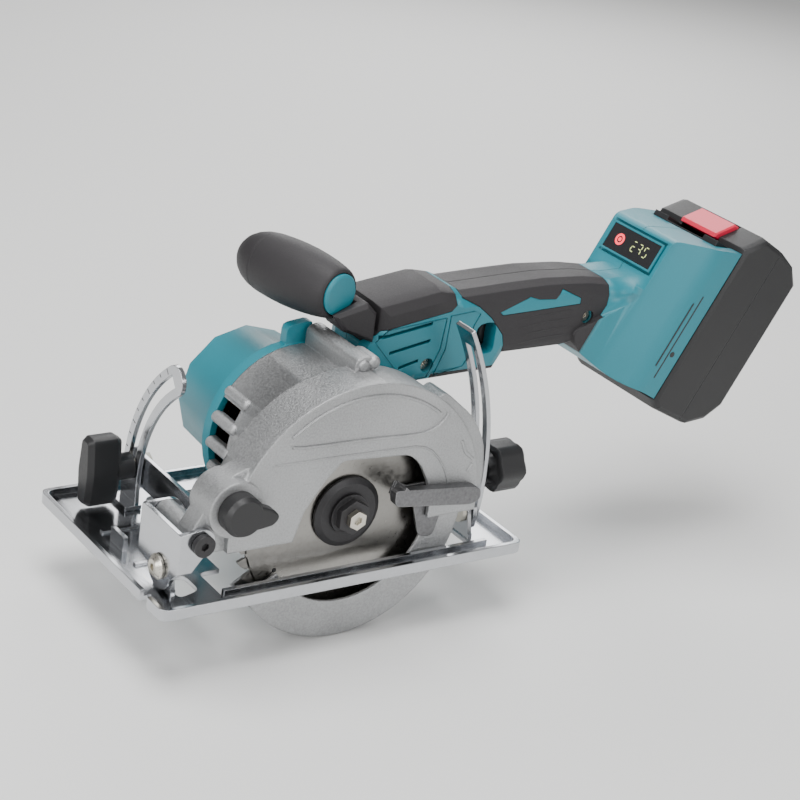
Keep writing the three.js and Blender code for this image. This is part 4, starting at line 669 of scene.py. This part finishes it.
glass = finish("display_window", (0.012, 0.012, 0.014), (0.08, 0.16), drift=0.1, grain=300, depth=0.02,
               edge=0.3, wear=0.2, worn=(0.05, 0.05, 0.06), coat=0.6)
window_low, window_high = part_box("display_panel")
FACE = -41.2
work = bmesh.new()
pack_plate(work, [(-20.6, 12), (20.6, 12), (20.6, 28), (-20.6, 28)], FACE + 3, FACE + 0.5)
window = place(work, "display_window", "saw_body", "black_plastic", 30, glass)
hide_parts("display_panel")
work = bmesh.new()
for low, high in (((-21.2, 11.4), (21.2, 12.6)), ((-21.2, 27.4), (21.2, 28.6)), ((-21.2, 12.6), (-20, 27.4)),
                  ((20, 12.6), (21.2, 27.4))):
    pack_plate(work, [(low[0], low[1]), (high[0], low[1]), (high[0], high[1]), (low[0], high[1])],
               FACE + 3, FACE + 0.1)
place(work, "display_frame", "saw_body", "teal_plastic", 30)
work = bmesh.new()
face_axis = (on_pack(-1, 0, 0) - on_pack(0, 0, 0)).normalized()
turned(work, on_pack(FACE + 0.52, 10.5, 20), face_axis,
       [(2.0, 0), (3.4, 0), (3.4, 0.16), (2.0, 0.16), (2.0, 0)], 32)
turned(work, on_pack(FACE + 0.52, 10.5, 20), face_axis, [(0, 0), (1.2, 0), (1.2, 0.16), (0, 0.16)], 20)
place(work, "charge_mark", "saw_body", "red_plastic", 30, glow("charge_glow", (0.95, 0.06, 0.08), 1.6))
work = bmesh.new()
for column, bars in ((-1.5, "adeg"), (-6.5, "abcg"), (-11.5, "acdf")):
    shapes = {"a": (0, 2.9, 1.9, 0.5), "g": (0, 0, 1.9, 0.5), "d": (0, -2.9, 1.9, 0.5),
              "b": (-1.3, 1.45, 0.5, 1.9), "c": (-1.3, -1.45, 0.5, 1.9), "e": (1.3, -1.45, 0.5, 1.9),
              "f": (1.3, 1.45, 0.5, 1.9)}
    for bar in bars:
        y, l, wide, tall = shapes[bar]
        y += column
        l += 20
        pack_plate(work, [(y - wide / 2, l - tall / 2), (y + wide / 2, l - tall / 2),
                          (y + wide / 2, l + tall / 2), (y - wide / 2, l + tall / 2)], FACE + 0.52, FACE + 0.4)
place(work, "segment_bars", "saw_body", "black_plastic", 30, glow("segment_glow", (0.55, 0.62, 0.25), 0.9))
print("display spans", [round(v, 4) for v in window_high - window_low])

# %% [markdown]
# ## The battery's case
# The pack has a row of shallow ribs on its back. The border round each side panel is made like the frames
# of the side panel, so it has no width either, and it ends just under the case wall.

# %% Battery details
work = bmesh.new()
PACK_SIDE, PACK_BACK, RIB_TOP = 36.7, 52.4, 53.0
border = [(9, -44), (33, -43.5), (44.5, -36), (47.5, -28), (47.5, 48), (41, 53.5), (30, 55.5),
          (13, 55.5), (7, 47)]
for side in (-1, 1):
    band(work, border, 2.0, side * PACK_SIDE, side * PACK_SIDE + side * 0.28, on_pack)
for l in (-30, -18, -6, 6, 18, 30, 42):
    low, high = l - 1.2, l + 1.2
    pack_plate(work, [(-26, low), (26, low), (26, high), (-26, high)], PACK_BACK, RIB_TOP)
place(work, "battery_relief", "battery", "grey_plastic", 40)
print("battery relief done")

# %% [markdown]
# ## The foot that holds the battery
# Each side of the foot has two slanted grooves that guide the thumb, and a hole for a screw. They are
# not cut: thin dark plates laid on the wall are painted shade, standing in for the shadow inside them.

# %% Foot details
FOOT_IN, FOOT_OUT = 35.7, 36.06
# The grooves and the screw hole are not cut: these dark plates are painted shade for them.
work = bmesh.new()
for side in (-1, 1):
    for n0, l0, l1 in ((-13.2, -30, 10), (-9.4, -36, 16)):
        face = outline(work, [on_pack(n, side * FOOT_IN, l)
                              for n, l in ((n0, l0), (n0 + 1.0, l0), (n0 + 1.0, l1), (n0, l1))])
        push(work, [face], on_pack(0, side * FOOT_OUT, 0) - on_pack(0, side * FOOT_IN, 0))
    turned(work, on_pack(-6.0, side * FOOT_IN, -20), spin_axis * side,
           [(0, 0), (1.7, 0), (1.7, 0.36), (0, 0.36)], 16)
place(work, "foot_groove_painted_shade", "saw_body", "black_plastic", 40)
print("foot grooves 4")

# %% [markdown]
# ## Scale marks on the bevel quadrant
# The quadrant is read against the edge of the bracket. Its marks are short thin plates on the outer part
# of the ring, one every five degrees and a longer one every fifteen.

# %% Quadrant marks
quad_low, quad_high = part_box("bevel_quadrant")
TILT_Y, TILT_Z, LONG_MARK, SHORT_MARK, MARK_END, MARK_HALF = 7.0, -17.5, 92.6, 93.8, 95.6, 0.3
MARKS = range(0, 46, 5)
work = bmesh.new()
for mark in MARKS:
    angle = math.radians(5.5 + mark)
    inner = LONG_MARK if mark % 15 == 0 else SHORT_MARK
    radial = Vector((0, math.cos(angle), math.sin(angle)))
    side = Vector((0, -math.sin(angle), math.cos(angle)))
    middle = at(0, TILT_Y, TILT_Z)
    middle.x = quad_low.x + 7 * MM
    ends = [radial * inner - side * MARK_HALF, radial * MARK_END - side * MARK_HALF,
            radial * MARK_END + side * MARK_HALF, radial * inner + side * MARK_HALF]
    push(work, [outline(work, [middle + e * MM for e in ends])], (-0.05 * MM, 0, 0))
place(work, "quadrant_marks", "base", "black_steel", 30)
print("marks", len(MARKS))

# %% [markdown]
# ## The guard's return spring
# The lower guard is pulled back by a coil of wire round its hub. It is a wire on a spiral path: rings
# of vertices placed along nearly one and a half turns, each joined to the next.

# %% Coil the spring
spring_low, spring_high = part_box("guard_spring")
work = bmesh.new()
turns, count, COIL, WIRE = 1.4, 50, 17.2, 0.22
coil = []
for i in range(count):
    t = i / (count - 1)
    a = math.tau * turns * t
    coil.append((COIL * math.cos(a), 8.28 + 0.44 * t, COIL * math.sin(a)))
bead(work, coil, WIRE, at, 6)
spring = place(work, "guard_spring_coil", "saw_body", "plain_steel", 60)
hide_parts("guard_spring")
print("coil turns", turns)

# %% [markdown]
# ## The size of the look
# The boxes of the CAD model and of the look are printed side by side. The look may not
# be bigger than the CAD model.

# %% Print the two boxes
low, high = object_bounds()
print("cad", [round(float(b - a), 4) for a, b in zip(cad_low, cad_high)],
      "visual", [round(float(b - a), 4) for a, b in zip(low, high)])
